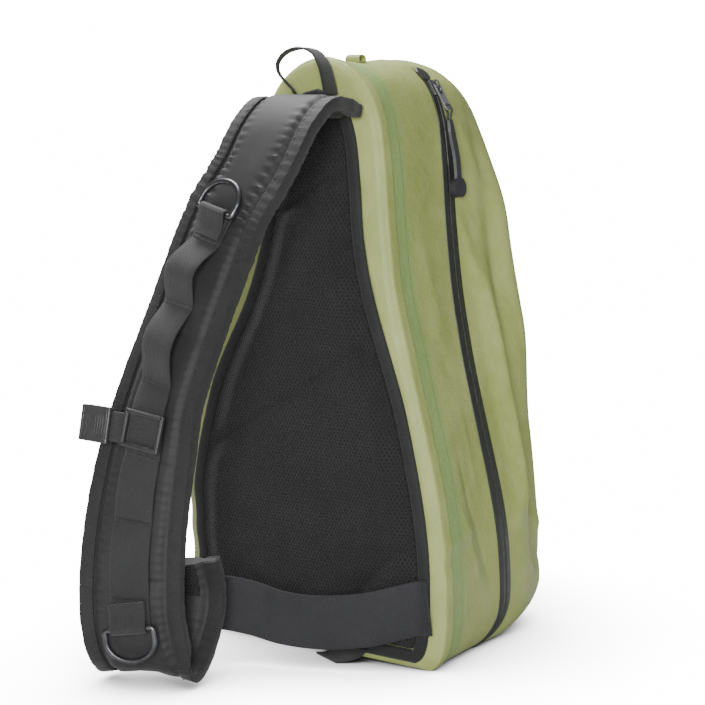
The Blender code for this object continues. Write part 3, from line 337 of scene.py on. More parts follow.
def coated_cloth(name="coated_green_cloth", welds=True):
    """The shell's cloth, with or without the welded strips."""
    finish = Finish(name, 0.5, specular=0.42)
    tree = finish.tree
    clouds = finish.group(PATCHES, "Mask", finish.object_place, Scale=14.0)
    fine = finish.group(PATCHES, "Mask", finish.object_place, Scale=95.0)
    color = blend_colors(tree, clouds, linear(136, 149, 78), linear(154, 164, 98))
    color = blend_colors(tree, calc(tree, "MULTIPLY", fine, 0.30), color, linear(158, 167, 108))
    if welds:
        depth = tree.nodes.new("ShaderNodeSeparateXYZ")
        tree.links.new(finish.uv, depth.inputs[0])
        place = depth.outputs[0]
        strip = calc(tree, "MULTIPLY", band(tree, place, *WELD_STRIP[:2]),
                     calc(tree, "SUBTRACT", 1.0, band(tree, place, *WELD_STRIP[2:])))
        color = blend_colors(tree, calc(tree, "MULTIPLY", strip, 0.65), color, linear(120, 150, 90))
        # These dark lines are the welds' edges and, where the rib's edges turn away, painted shade.
        for line, half, dark in WELD_AND_SHADE_LINES:
            off = calc(tree, "ABSOLUTE", calc(tree, "SUBTRACT", place, line))
            mask = calc(tree, "SUBTRACT", 1.0, band(tree, off, half * 0.4, half * 1.6))
            mask = calc(tree, "MULTIPLY", mask, dark)
            color = blend_colors(tree, mask, color, linear(92, 118, 66))
    finish.color(color)
    finish.roughness(calc(tree, "MULTIPLY_ADD", fine, 0.16, 0.42))
    finish.relief(finish.group(THREADS, "Height", finish.object_place, Across=0.0008, Along=0.0008),
                  0.00006)
    finish.relief(finish.group(PATCHES, "Mask", finish.object_place, Scale=60.0), 0.0006, 0.5)
    return finish.material


SHELL_CLOTH = coated_cloth()
TAB_CLOTH = coated_cloth("coated_green_tab", welds=False)
print("shell finish ready")

# %% [markdown]
# ## Black textiles
# Four black fabrics lie side by side: the strap's smooth cloth, the tape that binds edges, ribbed
# webbing, and spacer mesh. They differ in weave and in how much light they send back, and those
# small differences are what keeps black pieces apart in a picture.

# %% Textile finishes


def woven(name, dark, light, across, along, depth, roughness, sheen):
    """A woven cloth whose threads follow the UV map, which is in metres."""
    finish = Finish(name, roughness, specular=0.3)
    tree = finish.tree
    over = finish.group(THREADS, "Over", finish.uv, Across=across, Along=along)
    worn = finish.group(PATCHES, "Mask", finish.object_place, Scale=38.0)
    share = calc(tree, "ADD", calc(tree, "MULTIPLY", over, 0.45),
                 calc(tree, "MULTIPLY", worn, 0.55))
    finish.color(blend_colors(tree, share, linear(*dark), linear(*light)))
    finish.relief(finish.group(THREADS, "Height", finish.uv, Across=across, Along=along), depth)
    finish.shader.inputs["Sheen Weight"].default_value = sheen
    finish.shader.inputs["Sheen Roughness"].default_value = 0.5
    return finish.material


def spacer_mesh():
    """Knitted mesh with round holes, painted darker inside as the shade in their depth."""
    finish = Finish("spacer_mesh", 0.75, specular=0.25)
    tree = finish.tree
    hole = finish.group(HOLES, "Hole", finish.uv, Pitch=0.0028)
    worn = finish.group(PATCHES, "Mask", finish.object_place, Scale=22.0)
    yarn = blend_colors(tree, worn, linear(25, 25, 25), linear(34, 34, 34))
    # The near-black colour inside the holes is painted shade in their depth.
    finish.color(blend_colors(tree, hole, yarn, linear(17, 17, 18)))
    finish.relief(calc(tree, "SUBTRACT", 1.0, hole), 0.0007)
    finish.relief(finish.group(THREADS, "Height", finish.uv, Across=0.0006, Along=0.0004), 0.0001)
    finish.shader.inputs["Sheen Weight"].default_value = 0.10
    return finish.material


STRAP_CLOTH = woven("strap_cloth", (31, 31, 32), (41, 41, 42), 0.0005, 0.0005, 0.00005, 0.55, 0.1)
BINDING_TAPE = woven("binding_tape", (24, 24, 25), (35, 35, 36), 0.0008, 0.0011, 0.00014, 0.6, 0.12)
WEBBING = woven("ribbed_webbing", (36, 36, 37), (45, 45, 46), 0.0014, 0.0009, 0.00022, 0.7, 0.12)
BAND_CLOTH = woven("band_webbing", (33, 33, 36), (42, 42, 45), 0.0010, 0.0016, 0.00018, 0.65, 0.10)
THREAD = woven("sewing_thread", (28, 28, 29), (46, 46, 47), 0.0006, 0.0012, 0.0002, 0.6, 0.1)
MESH_CLOTH = spacer_mesh()
print("textile finishes", len(bpy.data.materials))

# %% [markdown]
# ## Hard finishes
# The rings are steel blackened in a bath, which leaves bright rubbed edges. The slider's tab is a
# paler metal. Buckle and frame are moulded plastic with a fine grain. The puller is soft rubber.

# %% Metal, plastic and rubber finishes
RUB_SCALE, RUB_SHARE, GRAIN_SCALE = 160.0, 0.5, 900.0


def rubbed(name, base, bright, roughness, metallic, grain, specular=0.5):
    """A hard surface with fine grain and paler patches where it has been rubbed."""
    finish = Finish(name, roughness, metallic, specular)
    tree = finish.tree
    worn = finish.group(PATCHES, "Mask", finish.object_place, Scale=RUB_SCALE)
    finish.color(blend_colors(tree, calc(tree, "MULTIPLY", worn, RUB_SHARE), linear(*base),
                              linear(*bright)))
    finish.roughness(calc(tree, "MULTIPLY_ADD", worn, -0.12, roughness + 0.06))
    finish.relief(finish.group(PATCHES, "Mask", finish.object_place, Scale=GRAIN_SCALE), grain)
    return finish.material


RING_STEEL = rubbed("blackened_steel", (70, 70, 72), (120, 120, 122), 0.34, 0.9, 0.00003)
SLIDER_METAL = rubbed("grey_slider_metal", (96, 96, 100), (140, 140, 146), 0.36, 0.9, 0.00003)
TAB_METAL = rubbed("pale_tab_metal", (150, 149, 160), (190, 189, 200), 0.34, 0.85, 0.00003)
PLASTIC = rubbed("black_plastic", (38, 38, 39), (52, 52, 53), 0.40, 0.0, 0.00005)
BUCKLE_PLASTIC = rubbed("buckle_plastic", (48, 48, 49), (70, 70, 71), 0.34, 0.0, 0.00004)
RUBBER = rubbed("soft_rubber", (44, 44, 46), (56, 56, 60), 0.48, 0.0, 0.00004, 0.4)
ZIP_FILM = rubbed("zip_film", (36, 37, 35), (50, 51, 48), 0.42, 0.0, 0.00003, 0.45)
ZIP_LINE = rubbed("zip_line", (14, 14, 14), (24, 24, 24), 0.5, 0.0, 0.00003, 0.3)
print("hard finishes ready")

# %% [markdown]
# ## Floor
# A single pale sheet runs under the bag and far behind it, so that no horizon shows. To the camera
# it glows as brightly as the backdrop, but a painted shadow darkens it where the bag stands close.

# %% Lay the floor
PAINTED_SHADOW_REACH, PAINTED_SHADOW_POWER = 0.13, 2.6       # how far and how sharply the shadow darkens
floor_mesh = bpy.data.meshes.new("studio_floor")
bm = bmesh.new()
bmesh.ops.create_grid(bm, x_segments=2, y_segments=2, size=12.0)
bm.to_mesh(floor_mesh)
bm.free()
floor = bpy.data.objects.new("studio_floor", floor_mesh)
floor_finish = Finish("floor_paper", 0.9, specular=0.1)
tree = floor_finish.tree
floor_clouds = floor_finish.group(PATCHES, "Mask", floor_finish.object_place, Scale=0.6)
floor_finish.color(blend_colors(tree, floor_clouds, (0.68, 0.68, 0.69), (0.70, 0.70, 0.705)))
# Painted shadow: ambient occlusion dims the floor's glow where the bag stands close.
painted_shadow_occlusion = tree.nodes.new("ShaderNodeAmbientOcclusion")
painted_shadow_occlusion.samples = 16
painted_shadow_occlusion.inputs["Distance"].default_value = PAINTED_SHADOW_REACH
glow_with_painted_shadow = tree.nodes.new("ShaderNodeEmission")
glow_with_painted_shadow.inputs["Color"].default_value = (1.0, 0.995, 1.0, 1.0)
painted_shadow_factor = calc(tree, "POWER", painted_shadow_occlusion.outputs["AO"], PAINTED_SHADOW_POWER)
tree.links.new(calc(tree, "MULTIPLY", painted_shadow_factor, WHITE_OUT), glow_with_painted_shadow.inputs["Strength"])
ray = tree.nodes.new("ShaderNodeLightPath")
both = tree.nodes.new("ShaderNodeMixShader")
tree.links.new(ray.outputs["Is Camera Ray"], both.inputs[0])
tree.links.new(floor_finish.shader.outputs[0], both.inputs[1])
tree.links.new(glow_with_painted_shadow.outputs[0], both.inputs[2])
tree.links.new(both.outputs[0], tree.nodes["Material Output"].inputs["Surface"])
floor_mesh.materials.append(floor_finish.material)
bpy.context.scene.collection.objects.link(floor)
print("floor", floor.dimensions[:])

# %% [markdown]
# ## Helpers for shapes
# Nearly every soft piece here is a strip that follows a line: a strap, a tape, a rib. Such a piece
# could be extruded ring by ring. Bending one flat grid is quicker: the grid's columns run round
# the piece and its rows run along it, and its UV map comes for free, in metres.

# %% Numbers between numbers


def lerp(a, b, share):
    """The number that lies a share of the way from a to b."""
    return a + (b - a) * share


def smoothstep(low, high, value):
    """0 below low, 1 above high, and a soft step between them."""
    t = min(max((value - low) / (high - low), 0.0), 1.0)
    return t * t * (3 - 2 * t)


def bump_at(value, middle, half):
    """A soft hill of height 1 at middle."""
    return exp(-((value - middle) / half) ** 2)


def catmull(rows, steps):
    """A smooth curve through rows of numbers."""
    curve = []
    last = len(rows) - 1
    for i in range(last):
        span = [rows[max(i - 1, 0)], rows[i], rows[i + 1], rows[min(i + 2, last)]]
        for k in range(steps):
            t = k / steps
            curve.append(tuple(
                0.5 * (2 * q + (r - p) * t + (2 * p - 5 * q + 4 * r - s) * t ** 2
                       + (3 * q - p - 3 * r + s) * t ** 3)
                for p, q, r, s in zip(*span)))
    curve.append(tuple(rows[last]))
    return curve


def smooth_lookup(pairs, value):
    """Read a smooth line through (value, result) pairs that rise in value."""
    slopes = [(q - p) / (b - a) for (a, p), (b, q) in zip(pairs, pairs[1:])]
    inner = [0.0 if s * t <= 0 else 2 * s * t / (s + t) for s, t in zip(slopes, slopes[1:])]
    ends = [slopes[0]] + inner + [slopes[-1]]
    for k, ((a, p), (b, q)) in enumerate(zip(pairs, pairs[1:])):
        if value <= b or k == len(slopes) - 1:
            t = min(max((value - a) / (b - a), 0.0), 1.0)
            h = b - a
            return ((2 * t ** 3 - 3 * t ** 2 + 1) * p + (t ** 3 - 2 * t ** 2 + t) * h * ends[k]
                    + (3 * t ** 2 - 2 * t ** 3) * q + (t ** 3 - t ** 2) * h * ends[k + 1])


print("half way up a soft step:", smoothstep(0, 1, 0.5))

# %% [markdown]
# ### A grid bent into a piece
# A flat grid's points could be typed or drawn one by one. Here each is placed by a function of its
# column and row, so one helper serves for the panel, the shell and every strip.

# %% Bend a grid into a piece


def finish_piece(bm, name, mat, body="base", sharp=50):
    """Turn a bmesh into a smooth shaded piece that rides on a body of the frame."""
    bmesh.ops.recalc_face_normals(bm, faces=bm.faces)
    mesh = bpy.data.meshes.new(name)
    bm.to_mesh(mesh)
    bm.free()
    mesh.shade_smooth()
    mesh.set_sharp_from_angle(angle=radians(sharp))
    mesh.materials.append(mat)
    obj = bpy.data.objects.new(name, mesh)
    bpy.context.scene.collection.objects.link(obj)
    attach(obj, body)
    print(name, len(mesh.polygons), "faces")
    return obj


def bend_grid(bm, columns, rows, place, uv):
    """Add a grid whose point (column, row) lies at place(column, row), with UVs from uv."""
    made = bmesh.ops.create_grid(bm, x_segments=columns, y_segments=rows, size=1.0)["verts"]
    layer = bm.loops.layers.uv.verify()
    spots = {}
    for vert in made:
        column = round((vert.co.x + 1) / 2 * columns)
        row = round((vert.co.y + 1) / 2 * rows)
        spots[vert] = uv(column, row)
        vert.co = place(column, row)
    for face in {f for v in made for f in v.link_faces}:
        for loop in face.loops:
            loop[layer].uv = spots[loop.vert]
    return made


def strip_piece(name, sections, mat, body="base", lengths=None, closed=False, sharp=50):
    """A piece through sections, each a closed list of points. closed joins last to first."""
    count = len(sections[0])
    rows = len(sections) - (0 if closed else 1)
    girth = [0.0]
    for k in range(count):
        a, b = sections[0][k], sections[0][(k + 1) % count]
        girth.append(girth[-1] + (b - a).length)
    if lengths is None:
        lengths = [0.0]
        for a, b in zip(sections, sections[1:] + sections[:1]):
            lengths.append(lengths[-1] + (b[0] - a[0]).length)
    bm = bmesh.new()
    bend_grid(bm, count, rows, lambda c, r: sections[r % len(sections)][c % count],
              lambda c, r: (girth[c], lengths[r]))
    bmesh.ops.remove_doubles(bm, verts=bm.verts, dist=0.0000001)
    if not closed:
        bmesh.ops.holes_fill(bm, edges=[e for e in bm.edges if e.is_boundary], sides=0)
    return finish_piece(bm, name, mat, body, sharp)


# %% [markdown]
# ### Routes
# A strap turns as it goes, so a curve alone isn't enough to carry its section. A route also keeps
# which way the strap's width points, and gives both at any distance along it.

# %% Follow a route
Frame = namedtuple("Frame", "distance place along width normal")


class Route:
    """A smooth way through points, with a width direction at each place on it."""

    def __init__(self, points, widths, steps=10):
        samples = catmull([(*p, *w) for p, w in zip(points, widths)], steps)
        self.points = [Vector(s[:3]) for s in samples]
        self.widths = [Vector(s[3:6]) for s in samples]
        self.lengths = [0.0]
        for a, b in zip(self.points, self.points[1:]):
            self.lengths.append(self.lengths[-1] + (b - a).length)
        self.length = self.lengths[-1]

    def frame(self, distance):
        """Place, way on, width and normal at a distance along the route."""
        distance = min(max(distance, 0.0), self.length)
        i = 0
        while i < len(self.lengths) - 2 and self.lengths[i + 1] < distance:
            i += 1
        share = (distance - self.lengths[i]) / (self.lengths[i + 1] - self.lengths[i])
        before, after = max(i - 1, 0), min(i + 2, len(self.points) - 1)
        start = (self.points[i + 1] - self.points[before]).normalized()
        end = (self.points[after] - self.points[i]).normalized()
        along = start.lerp(end, share).normalized()
        width = self.widths[i].lerp(self.widths[i + 1], share)
        width = (width - along * width.dot(along)).normalized()
        place = self.points[i].lerp(self.points[i + 1], share)
        return Frame(distance, place, along, width, along.cross(width))

    def frames(self, step, start=0.0, end=None):
        """Frames a step apart from start to end."""
        end = self.length if end is None else end
        count = max(2, round((end - start) / step))
        return [self.frame(lerp(start, end, k / count)) for k in range(count + 1)]


def at(frame, across, out):
    """A place beside a frame, so far across and so far out."""
    return frame.place + frame.width * across + frame.normal * out


def sweep(frames, pairs):
    """Sections along frames. pairs lists (across, out), or gives that list for a frame."""
    return [[at(f, *p) for p in (pairs(f) if callable(pairs) else pairs)] for f in frames]


def round_section(half, thick, middle=0.0, low=0.0, corner=4):
    """A flat strip's section with round edges, as (across, out) pairs."""
    radius = thick / 2
    pairs = []
    for side, start in ((1, -90), (-1, 90)):
        for k in range(corner + 1):
            angle = radians(start + 180 * k / corner)
            pairs.append((middle + side * (half - radius) + radius * cos(angle),
                          low + radius + radius * sin(angle)))
        inner = [0.6, 0.2, -0.2, -0.6]
        level = low + (thick if side == 1 else 0.0)
        pairs += [(middle + side * share * (half - radius), level) for share in inner]
    return pairs


print("a strip's section has", len(round_section(0.01, 0.002)), "points")

# %% [markdown]
# ## Shell
# The real shell is two sheets of coated cloth welded to a narrow back frame. Seen from the back it
# is a tall drop, and each slice of its depth repeats that outline a little larger or smaller. So a
# grid is wrapped round the drop, one row for each slice, and folds are raised along lines on it.

# %% Sizes of the shell
HEIGHT, HALF, DEPTH = 0.416, 0.111, 0.172
BACK = -0.265 * DEPTH
LEAN = 0.012
FOOT_DEPTH, FOOT_HEIGHT = 0.70, 0.050
RIB_RISE = 0.0015
GAP = 0.0003
OUTLINE = (                # width of HALF and height of HEIGHT, from the base's corner to the crown
    (0.880, 0.000), (0.955, 0.018), (0.993, 0.060), (1.000, 0.120), (0.985, 0.200), (0.932, 0.290),
    (0.835, 0.400), (0.720, 0.510), (0.610, 0.620), (0.530, 0.730), (0.485, 0.820), (0.430, 0.900),
    (0.335, 0.955), (0.185, 0.988), (0.000, 1.000))
OUTLINE_STEPS = 8
SliceRow = namedtuple("SliceRow", "depth width top lift rib bow")
SLICES = (                 # depth and bow of DEPTH, lift of HEIGHT, rib of RIB_RISE
    SliceRow(0.000, 0.925, 0.978, 0.009, 0.0, 0.000),
    SliceRow(0.013, 0.972, 0.992, 0.002, 0.3, 0.000),
    SliceRow(0.032, 0.990, 0.996, 0.000, 1.0, 0.000),
    SliceRow(0.078, 0.990, 0.996, 0.000, 1.0, 0.000),
    SliceRow(0.086, 0.990, 0.996, 0.000, 0.0, 0.000),
    SliceRow(0.160, 0.990, 0.996, 0.000, 0.0, 0.000),
    SliceRow(0.168, 0.990, 0.996, 0.000, -0.5, 0.000),
    SliceRow(0.370, 0.980, 0.998, 0.000, -0.5, 0.030),
    SliceRow(0.512, 0.964, 1.000, 0.000, 0.0, 0.065),
    SliceRow(0.573, 0.962, 1.000, 0.000, 0.0, 0.065),
    SliceRow(0.720, 0.975, 0.998, 0.000, 0.0, 0.035),
    SliceRow(0.800, 0.962, 0.988, 0.002, 0.0, 0.020),
    SliceRow(0.890, 0.935, 0.964, 0.012, 0.0, 0.000),
    SliceRow(0.955, 0.860, 0.922, 0.040, 0.0, 0.000),
    SliceRow(0.990, 0.730, 0.862, 0.085, 0.0, 0.000))
SLOT_NEAR, SLOT_FAR = 0.512, 0.573
SLOT_LOW, SLOT_HIGH = 0.006, 0.980
SLOT_DIP = 0.0026
LEFT_SWELL = (             # share of HEIGHT, and metres that the left side bulges out
    (0.00, 0.0), (0.13, -0.001), (0.19, 0.003), (0.27, 0.0095), (0.34, 0.0105), (0.44, 0.0100),
    (0.62, 0.0), (1.00, 0.0))
SWELL_FADE = (0.25, 0.85)  # shares of DEPTH over which that bulge fades
print("shell", 2 * HALF, "by", DEPTH, "by", HEIGHT)

# %% [markdown]
# ### Folds
# A coated shell keeps its creases. Each fold is a line from one place on the shell to another, in
# shares of depth and height, with a half width and a rise in millimetres. The big ones are those
# that the frame has already, and the small ones are the creases that the light picks out.

# %% Fold table
FoldRow = namedtuple("FoldRow", "side low_height low_depth high_height high_depth half rise")
BIG_FOLDS = (
    FoldRow(1, 0.20, 0.730, 0.66, 0.715, 0.050, 3.2),
    FoldRow(1, 0.12, 0.820, 0.86, 0.800, 0.060, -3.8),
    FoldRow(1, 0.08, 0.370, 0.36, 0.370, 0.110, -2.6),
    FoldRow(-1, 0.20, 0.450, 0.70, 0.450, 0.160, -2.4),
    FoldRow(1, 0.46, 0.920, 0.84, 0.920, 0.170, 14.0),
    FoldRow(-1, 0.46, 0.920, 0.84, 0.920, 0.170, 13.0),
    FoldRow(1, 0.06, 0.940, 0.30, 0.940, 0.160, -5.2),
    FoldRow(-1, 0.06, 0.940, 0.30, 0.940, 0.160, -4.4))
FOLD_END = 0.10
CREASE_SCALE, UNEVEN = 1.3, 0.0010
CreaseRow = namedtuple("CreaseRow", "side depth_a height_a depth_b height_b half rise")
CREASES = (                # places in shares of DEPTH and HEIGHT, half and rise in millimetres
    CreaseRow(1, 0.02, 0.205, 0.30, 0.222, 3.0, 1.3),
    CreaseRow(1, 0.02, 0.178, 0.34, 0.196, 4.0, -1.2),
    CreaseRow(1, 0.22, 0.245, 0.34, 0.130, 3.0, 0.9),
    CreaseRow(1, 0.30, 0.260, 0.42, 0.120, 3.5, -0.9),
    CreaseRow(1, 0.26, 0.360, 0.30, 0.235, 5.0, -1.0),
    CreaseRow(1, 0.36, 0.420, 0.40, 0.260, 6.0, 0.8),
    CreaseRow(1, 0.28, 0.700, 0.34, 0.560, 7.0, 0.7),
    CreaseRow(1, 0.20, 0.560, 0.36, 0.470, 8.0, -0.8),
    CreaseRow(1, 0.605, 0.720, 0.700, 0.600, 7.0, 2.6),
    CreaseRow(1, 0.700, 0.600, 0.722, 0.410, 7.0, 3.2),
    CreaseRow(1, 0.722, 0.410, 0.738, 0.260, 7.0, 3.4),
    CreaseRow(1, 0.738, 0.260, 0.650, 0.200, 6.0, 2.6),
    CreaseRow(1, 0.790, 0.640, 0.810, 0.240, 6.0, -1.8),
    CreaseRow(1, 0.64, 0.590, 0.66, 0.300, 6.0, -0.7),
    CreaseRow(1, 0.80, 0.210, 0.98, 0.150, 4.0, 1.2),
    CreaseRow(1, 0.78, 0.160, 0.97, 0.085, 4.0, -1.2),
    CreaseRow(1, 0.68, 0.150, 0.90, 0.060, 4.0, 0.8),
    CreaseRow(1, 0.66, 0.900, 0.80, 0.780, 6.0, 0.8),
    CreaseRow(1, 0.84, 0.620, 0.90, 0.440, 7.0, -0.9),
    CreaseRow(-1, 0.10, 0.240, 0.40, 0.300, 6.0, 1.2),
    CreaseRow(-1, 0.30, 0.520, 0.56, 0.420, 8.0, -1.2),
    CreaseRow(-1, 0.55, 0.300, 0.85, 0.180, 6.0, 1.0))
print("folds", len(BIG_FOLDS), "creases", len(CREASES))

# %% [markdown]
# ### Relief
# A fold could be sculpted by hand. Here its height is a formula of where a point lies beside the
# fold's line, so the table above is all that has to change.

# %% Relief of the shell


def lean(z):
    """How far the back leans forward at a height."""
    return LEAN * smoothstep(0.45, 1.0, z / HEIGHT)


def foot_share(z):
    """Share of the depth that is left at a height: the base is rounded under."""
    below = 1 - min(max(z / FOOT_HEIGHT, 0.0), 1.0)
    return lerp(1.0, FOOT_DEPTH, below ** 4)


def fold_rise(side, depth, height):
    """Height of the big folds, in metres, at a place in shares of DEPTH and HEIGHT."""
    total = 0.0
    for fold in BIG_FOLDS:
        if fold.side * side <= 0:
            continue
        along = (height - fold.low_height) / (fold.high_height - fold.low_height)
        middle = lerp(fold.low_depth, fold.high_depth, along)
        start = smoothstep(fold.low_height - FOLD_END, fold.low_height + FOLD_END, height)
        end = smoothstep(fold.high_height - FOLD_END, fold.high_height + FOLD_END, height)
        fade = start * (1 - end)
        total += fold.rise / 1000 * fade * bump_at(depth, middle, fold.half)
    return total


def crease_rise(side, depth, height):
    """Height of the small creases and of the cloth's slight unevenness, in metres."""
    total = 0.0
    here = Vector((depth * DEPTH, height * HEIGHT))
    for crease in CREASES:
        if crease.side * side <= 0:
            continue
        a = Vector((crease.depth_a * DEPTH, crease.height_a * HEIGHT))
        b = Vector((crease.depth_b * DEPTH, crease.height_b * HEIGHT))
        length = (b - a).length
        along = (here - a).dot(b - a) / length ** 2
        off = abs((here - a).cross((b - a) / length)) * 1000
        if -0.4 < along < 1.4 and off < 4 * crease.half:
            fade = smoothstep(-0.3, 0.3, along) * (1 - smoothstep(0.7, 1.3, along))
            total += crease.rise / 1000 * fade * exp(-(off / crease.half) ** 1.3)
    total += UNEVEN * noise.noise(Vector((here.x * 26, here.y * 13, side * 5.0)))
    return total * (1 - bump_at(depth, 0.5 * (SLOT_NEAR + SLOT_FAR), 0.055))


def slot_dip(x, depth, height):
    """The shell dips under the zipper on its right side."""
    if x <= 0:
        return 0.0
    inside = (smoothstep(SLOT_NEAR - 0.002, SLOT_NEAR + 0.006, depth)
              * (1 - smoothstep(SLOT_FAR - 0.006, SLOT_FAR + 0.002, depth)))
    top = smoothstep(SLOT_HIGH, SLOT_HIGH + 0.004, height)
    return -SLOT_DIP * inside * (smoothstep(0.0, SLOT_LOW, height) * (1 - top))


print("crease relief at one place, mm:", round(1000 * crease_rise(1, 0.2, 0.21), 2))

# %% [markdown]
# ### Slices
# A slice is the drop's outline at one depth, with the folds added along its normals. Its left side
# also bulges, as the photo shows behind the strap.

# %% Slices of the shell


def shell_outline():
    """(x share, z share) from the base's middle over the right side to the crown."""
    base = [(0.0, 0.0), (0.30, 0.0), (0.60, 0.0), (0.80, 0.0)]
    rows = catmull(base + list(OUTLINE), OUTLINE_STEPS)
    return [(max(x, 0.0), max(z, 0.0)) for x, z in rows]


SHARES = shell_outline()
HALF_COUNT = len(SHARES)
ROUND_COUNT = 2 * (HALF_COUNT - 1)
BASE_COUNT = 4 * OUTLINE_STEPS


def slice_at(depth):
    """The sizes of the slice at a depth, read smoothly from the table."""
    values = [smooth_lookup([(row.depth, row[k]) for row in SLICES], depth) for k in (1, 2, 3, 5)]
    rib = smoothstep(0.013, 0.030, depth) - smoothstep(0.078, 0.087, depth)
    rib -= 0.5 * smoothstep(0.160, 0.167, depth) * (1 - smoothstep(0.37, 0.51, depth))
    return SliceRow(depth, values[0], values[1], values[2], rib, values[3])


def swollen(x, z, depth=0.0):
    """The place across: the left side bulges low down near the back."""
    share = min(max(z / HEIGHT, 0.0), 1.0)
    for (a, p), (b, q) in zip(LEFT_SWELL, LEFT_SWELL[1:]):
        if x < 0 and share <= b:
            push = lerp(p, q, smoothstep(a, b, share)) * (1 - smoothstep(*SWELL_FADE, depth))
            return x + push * x / HALF
    return x


def slice_points(row, detail=True):
    """The closed loop of a slice and its outward normals."""
    right = [Vector((x * HALF * row.width, 0.0, HEIGHT * lerp(row.lift, row.top, z)))
             for x, z in SHARES]
    loop = right + [Vector((-p.x, 0.0, p.z)) for p in reversed(right[1:-1])]
    normals = []
    for i in range(ROUND_COUNT):
        way = loop[(i + 1) % ROUND_COUNT] - loop[i - 1]
        normals.append(Vector((way.z, 0.0, -way.x)).normalized())
    points = []
    for i, (point, normal) in enumerate(zip(loop, normals)):
        share = SHARES[i][1] if i < HALF_COUNT else SHARES[ROUND_COUNT - i][1]
        side = point.x / HALF
        rise = 0.0
        if share > 0:
            rise = row.rib * RIB_RISE + fold_rise(side, row.depth, share)
            if detail:
                creases = CREASE_SCALE * crease_rise(side, row.depth, share)
                rise += creases * smoothstep(0.0, 0.05, share)
                rise += slot_dip(point.x, row.depth, share)
        moved = point + normal * rise
        bowed = row.depth - row.bow * bump_at(share, 0.43, 0.24)
        moved.x = swollen(moved.x, moved.z, row.depth)
        moved.y = BACK + bowed * DEPTH * foot_share(moved.z) + lean(moved.z) * (1 - row.depth)
        points.append(moved)
    return points, normals


print("points round a slice:", ROUND_COUNT)

# %% [markdown]
# ### Wrapping
# The slices become one grid, a row for each. A second grid closes the front, where a single face
# would shade badly. The flat back, which the panel hides but for a rim, is closed by one face.

# %% Wrap the shell


def shell_depths():
    """Depths of the slices: close together at the rib, the seams, the zipper and the front."""
    stops = ((0.000, 0.032, 8), (0.032, 0.076, 4), (0.076, 0.090, 6), (0.090, 0.158, 6),
             (0.158, 0.170, 5), (0.170, 0.505, 34), (0.505, 0.522, 7), (0.522, 0.563, 2),
             (0.563, 0.580, 7), (0.580, 0.880, 44), (0.880, 0.990, 18))
    depths = [0.0]
    for low, high, steps in stops:
        depths += [lerp(low, high, (k + 1) / steps) for k in range(steps)]
    return depths


def front_place(last, column, row):
    """A place on the front sheet, which closes the last slice from its left side to its right."""
    first = BASE_COUNT
    left, right = last[(-first - row) % ROUND_COUNT], last[first + row]
    if row == 0:
        return last[(column - first) % ROUND_COUNT]
    share = column / (2 * first)
    z_share = SHARES[first + row][1]
    rim = smoothstep(0.0, 0.3, z_share) * (1 - smoothstep(0.75, 1.0, z_share))
    place = left.lerp(right, share)
    place.y += 0.010 * DEPTH * rim * (1 - (2 * share - 1) ** 2)
    hollow = bump_at(share, 0.5, 0.25) * bump_at(z_share, 0.75, 0.12)
    wave = noise.noise(Vector((place.x * 16, 3.0, place.z * 11)))
    place.y += (0.0016 * wave - 0.002 * hollow) * smoothstep(0, 0.12, min(share, 1 - share))
    return place


depths = shell_depths()
slices = [slice_points(slice_at(depth))[0] for depth in depths]
bm = bmesh.new()
bend_grid(bm, ROUND_COUNT, len(depths) - 1, lambda c, r: slices[r][c % ROUND_COUNT],
          lambda c, r: (depths[r], c / ROUND_COUNT))
bend_grid(bm, 2 * BASE_COUNT, HALF_COUNT - 1 - BASE_COUNT,
          lambda c, r: front_place(slices[-1], c, r), lambda c, r: (1.0, r / HALF_COUNT))
bmesh.ops.remove_doubles(bm, verts=bm.verts, dist=0.00001)
bmesh.ops.dissolve_degenerate(bm, dist=0.000001, edges=bm.edges)
bmesh.ops.holes_fill(bm, edges=[e for e in bm.edges if e.is_boundary], sides=0)
shell = finish_piece(bm, "welded_shell", SHELL_CLOTH, sharp=70)
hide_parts("shell")

# %% [markdown]
# ## Back panel
# The wearer's side is a pad of foam under spacer mesh, quilted by three slanting channels. It is a
# flat grid cut to the back's outline, swollen between its rim and its channels, and given a wall.

# %% Shape the back panel
BINDING_WIDTH, BINDING_THICK, BINDING_INSET = 0.009, 0.003, 0.0012
TOP_INSET = 0.011          # how much further in the panel and its binding lie round the top
PANEL_EDGE, PANEL_THICK = 0.003, 0.0085
GROOVE_DEPTH, GROOVE_HALF = 0.0050, 0.0052
GROOVES = ((-0.42, 0.712, 0.12, 0.800), (-0.88, 0.300, 0.46, 0.540), (0.30, 0.085, 0.80, 0.232))
PANEL_COLUMNS, PANEL_ROWS = 110, 190


def back_profile(inset):
    """Right half of the back's edge moved inwards, as (x, z), from the base to the crown."""
    points, normals = slice_points(slice_at(0.0), detail=False)
    places = []
    for i in range(BASE_COUNT - 1, HALF_COUNT):
        inwards = inset + TOP_INSET * smoothstep(0.42, 0.74, SHARES[i][1])
        places.append((points[i].x - normals[i].x * inwards, points[i].z - normals[i].z * inwards))
    return places


def groove_depth(x, z):
    """How deep the quilted channels are at a place."""
    deepest = 0.0
    for x1, z1, x2, z2 in GROOVES:
        a, b = Vector((x1 * HALF, z1 * HEIGHT)), Vector((x2 * HALF, z2 * HEIGHT))
        off = abs((Vector((x, z)) - a).cross((b - a).normalized()))
        deepest = max(deepest, GROOVE_DEPTH * exp(-(off / GROOVE_HALF) ** 1.4))
    return deepest


edge = sorted((z, x) for x, z in back_profile(BINDING_INSET + BINDING_WIDTH + GAP) if z > 0)
PANEL_LOW, PANEL_HIGH = edge[0][0] + 6 * GAP, edge[-1][0] - 4 * GAP


def panel_half(z):
    """Half width of the panel at a height, by straight reading of the edge."""
    for (a, p), (b, q) in zip(edge, edge[1:]):
        if z <= b:
            return lerp(p, q, (z - a) / (b - a)) - GAP if b > a else q - GAP
    return edge[-1][1] - GAP


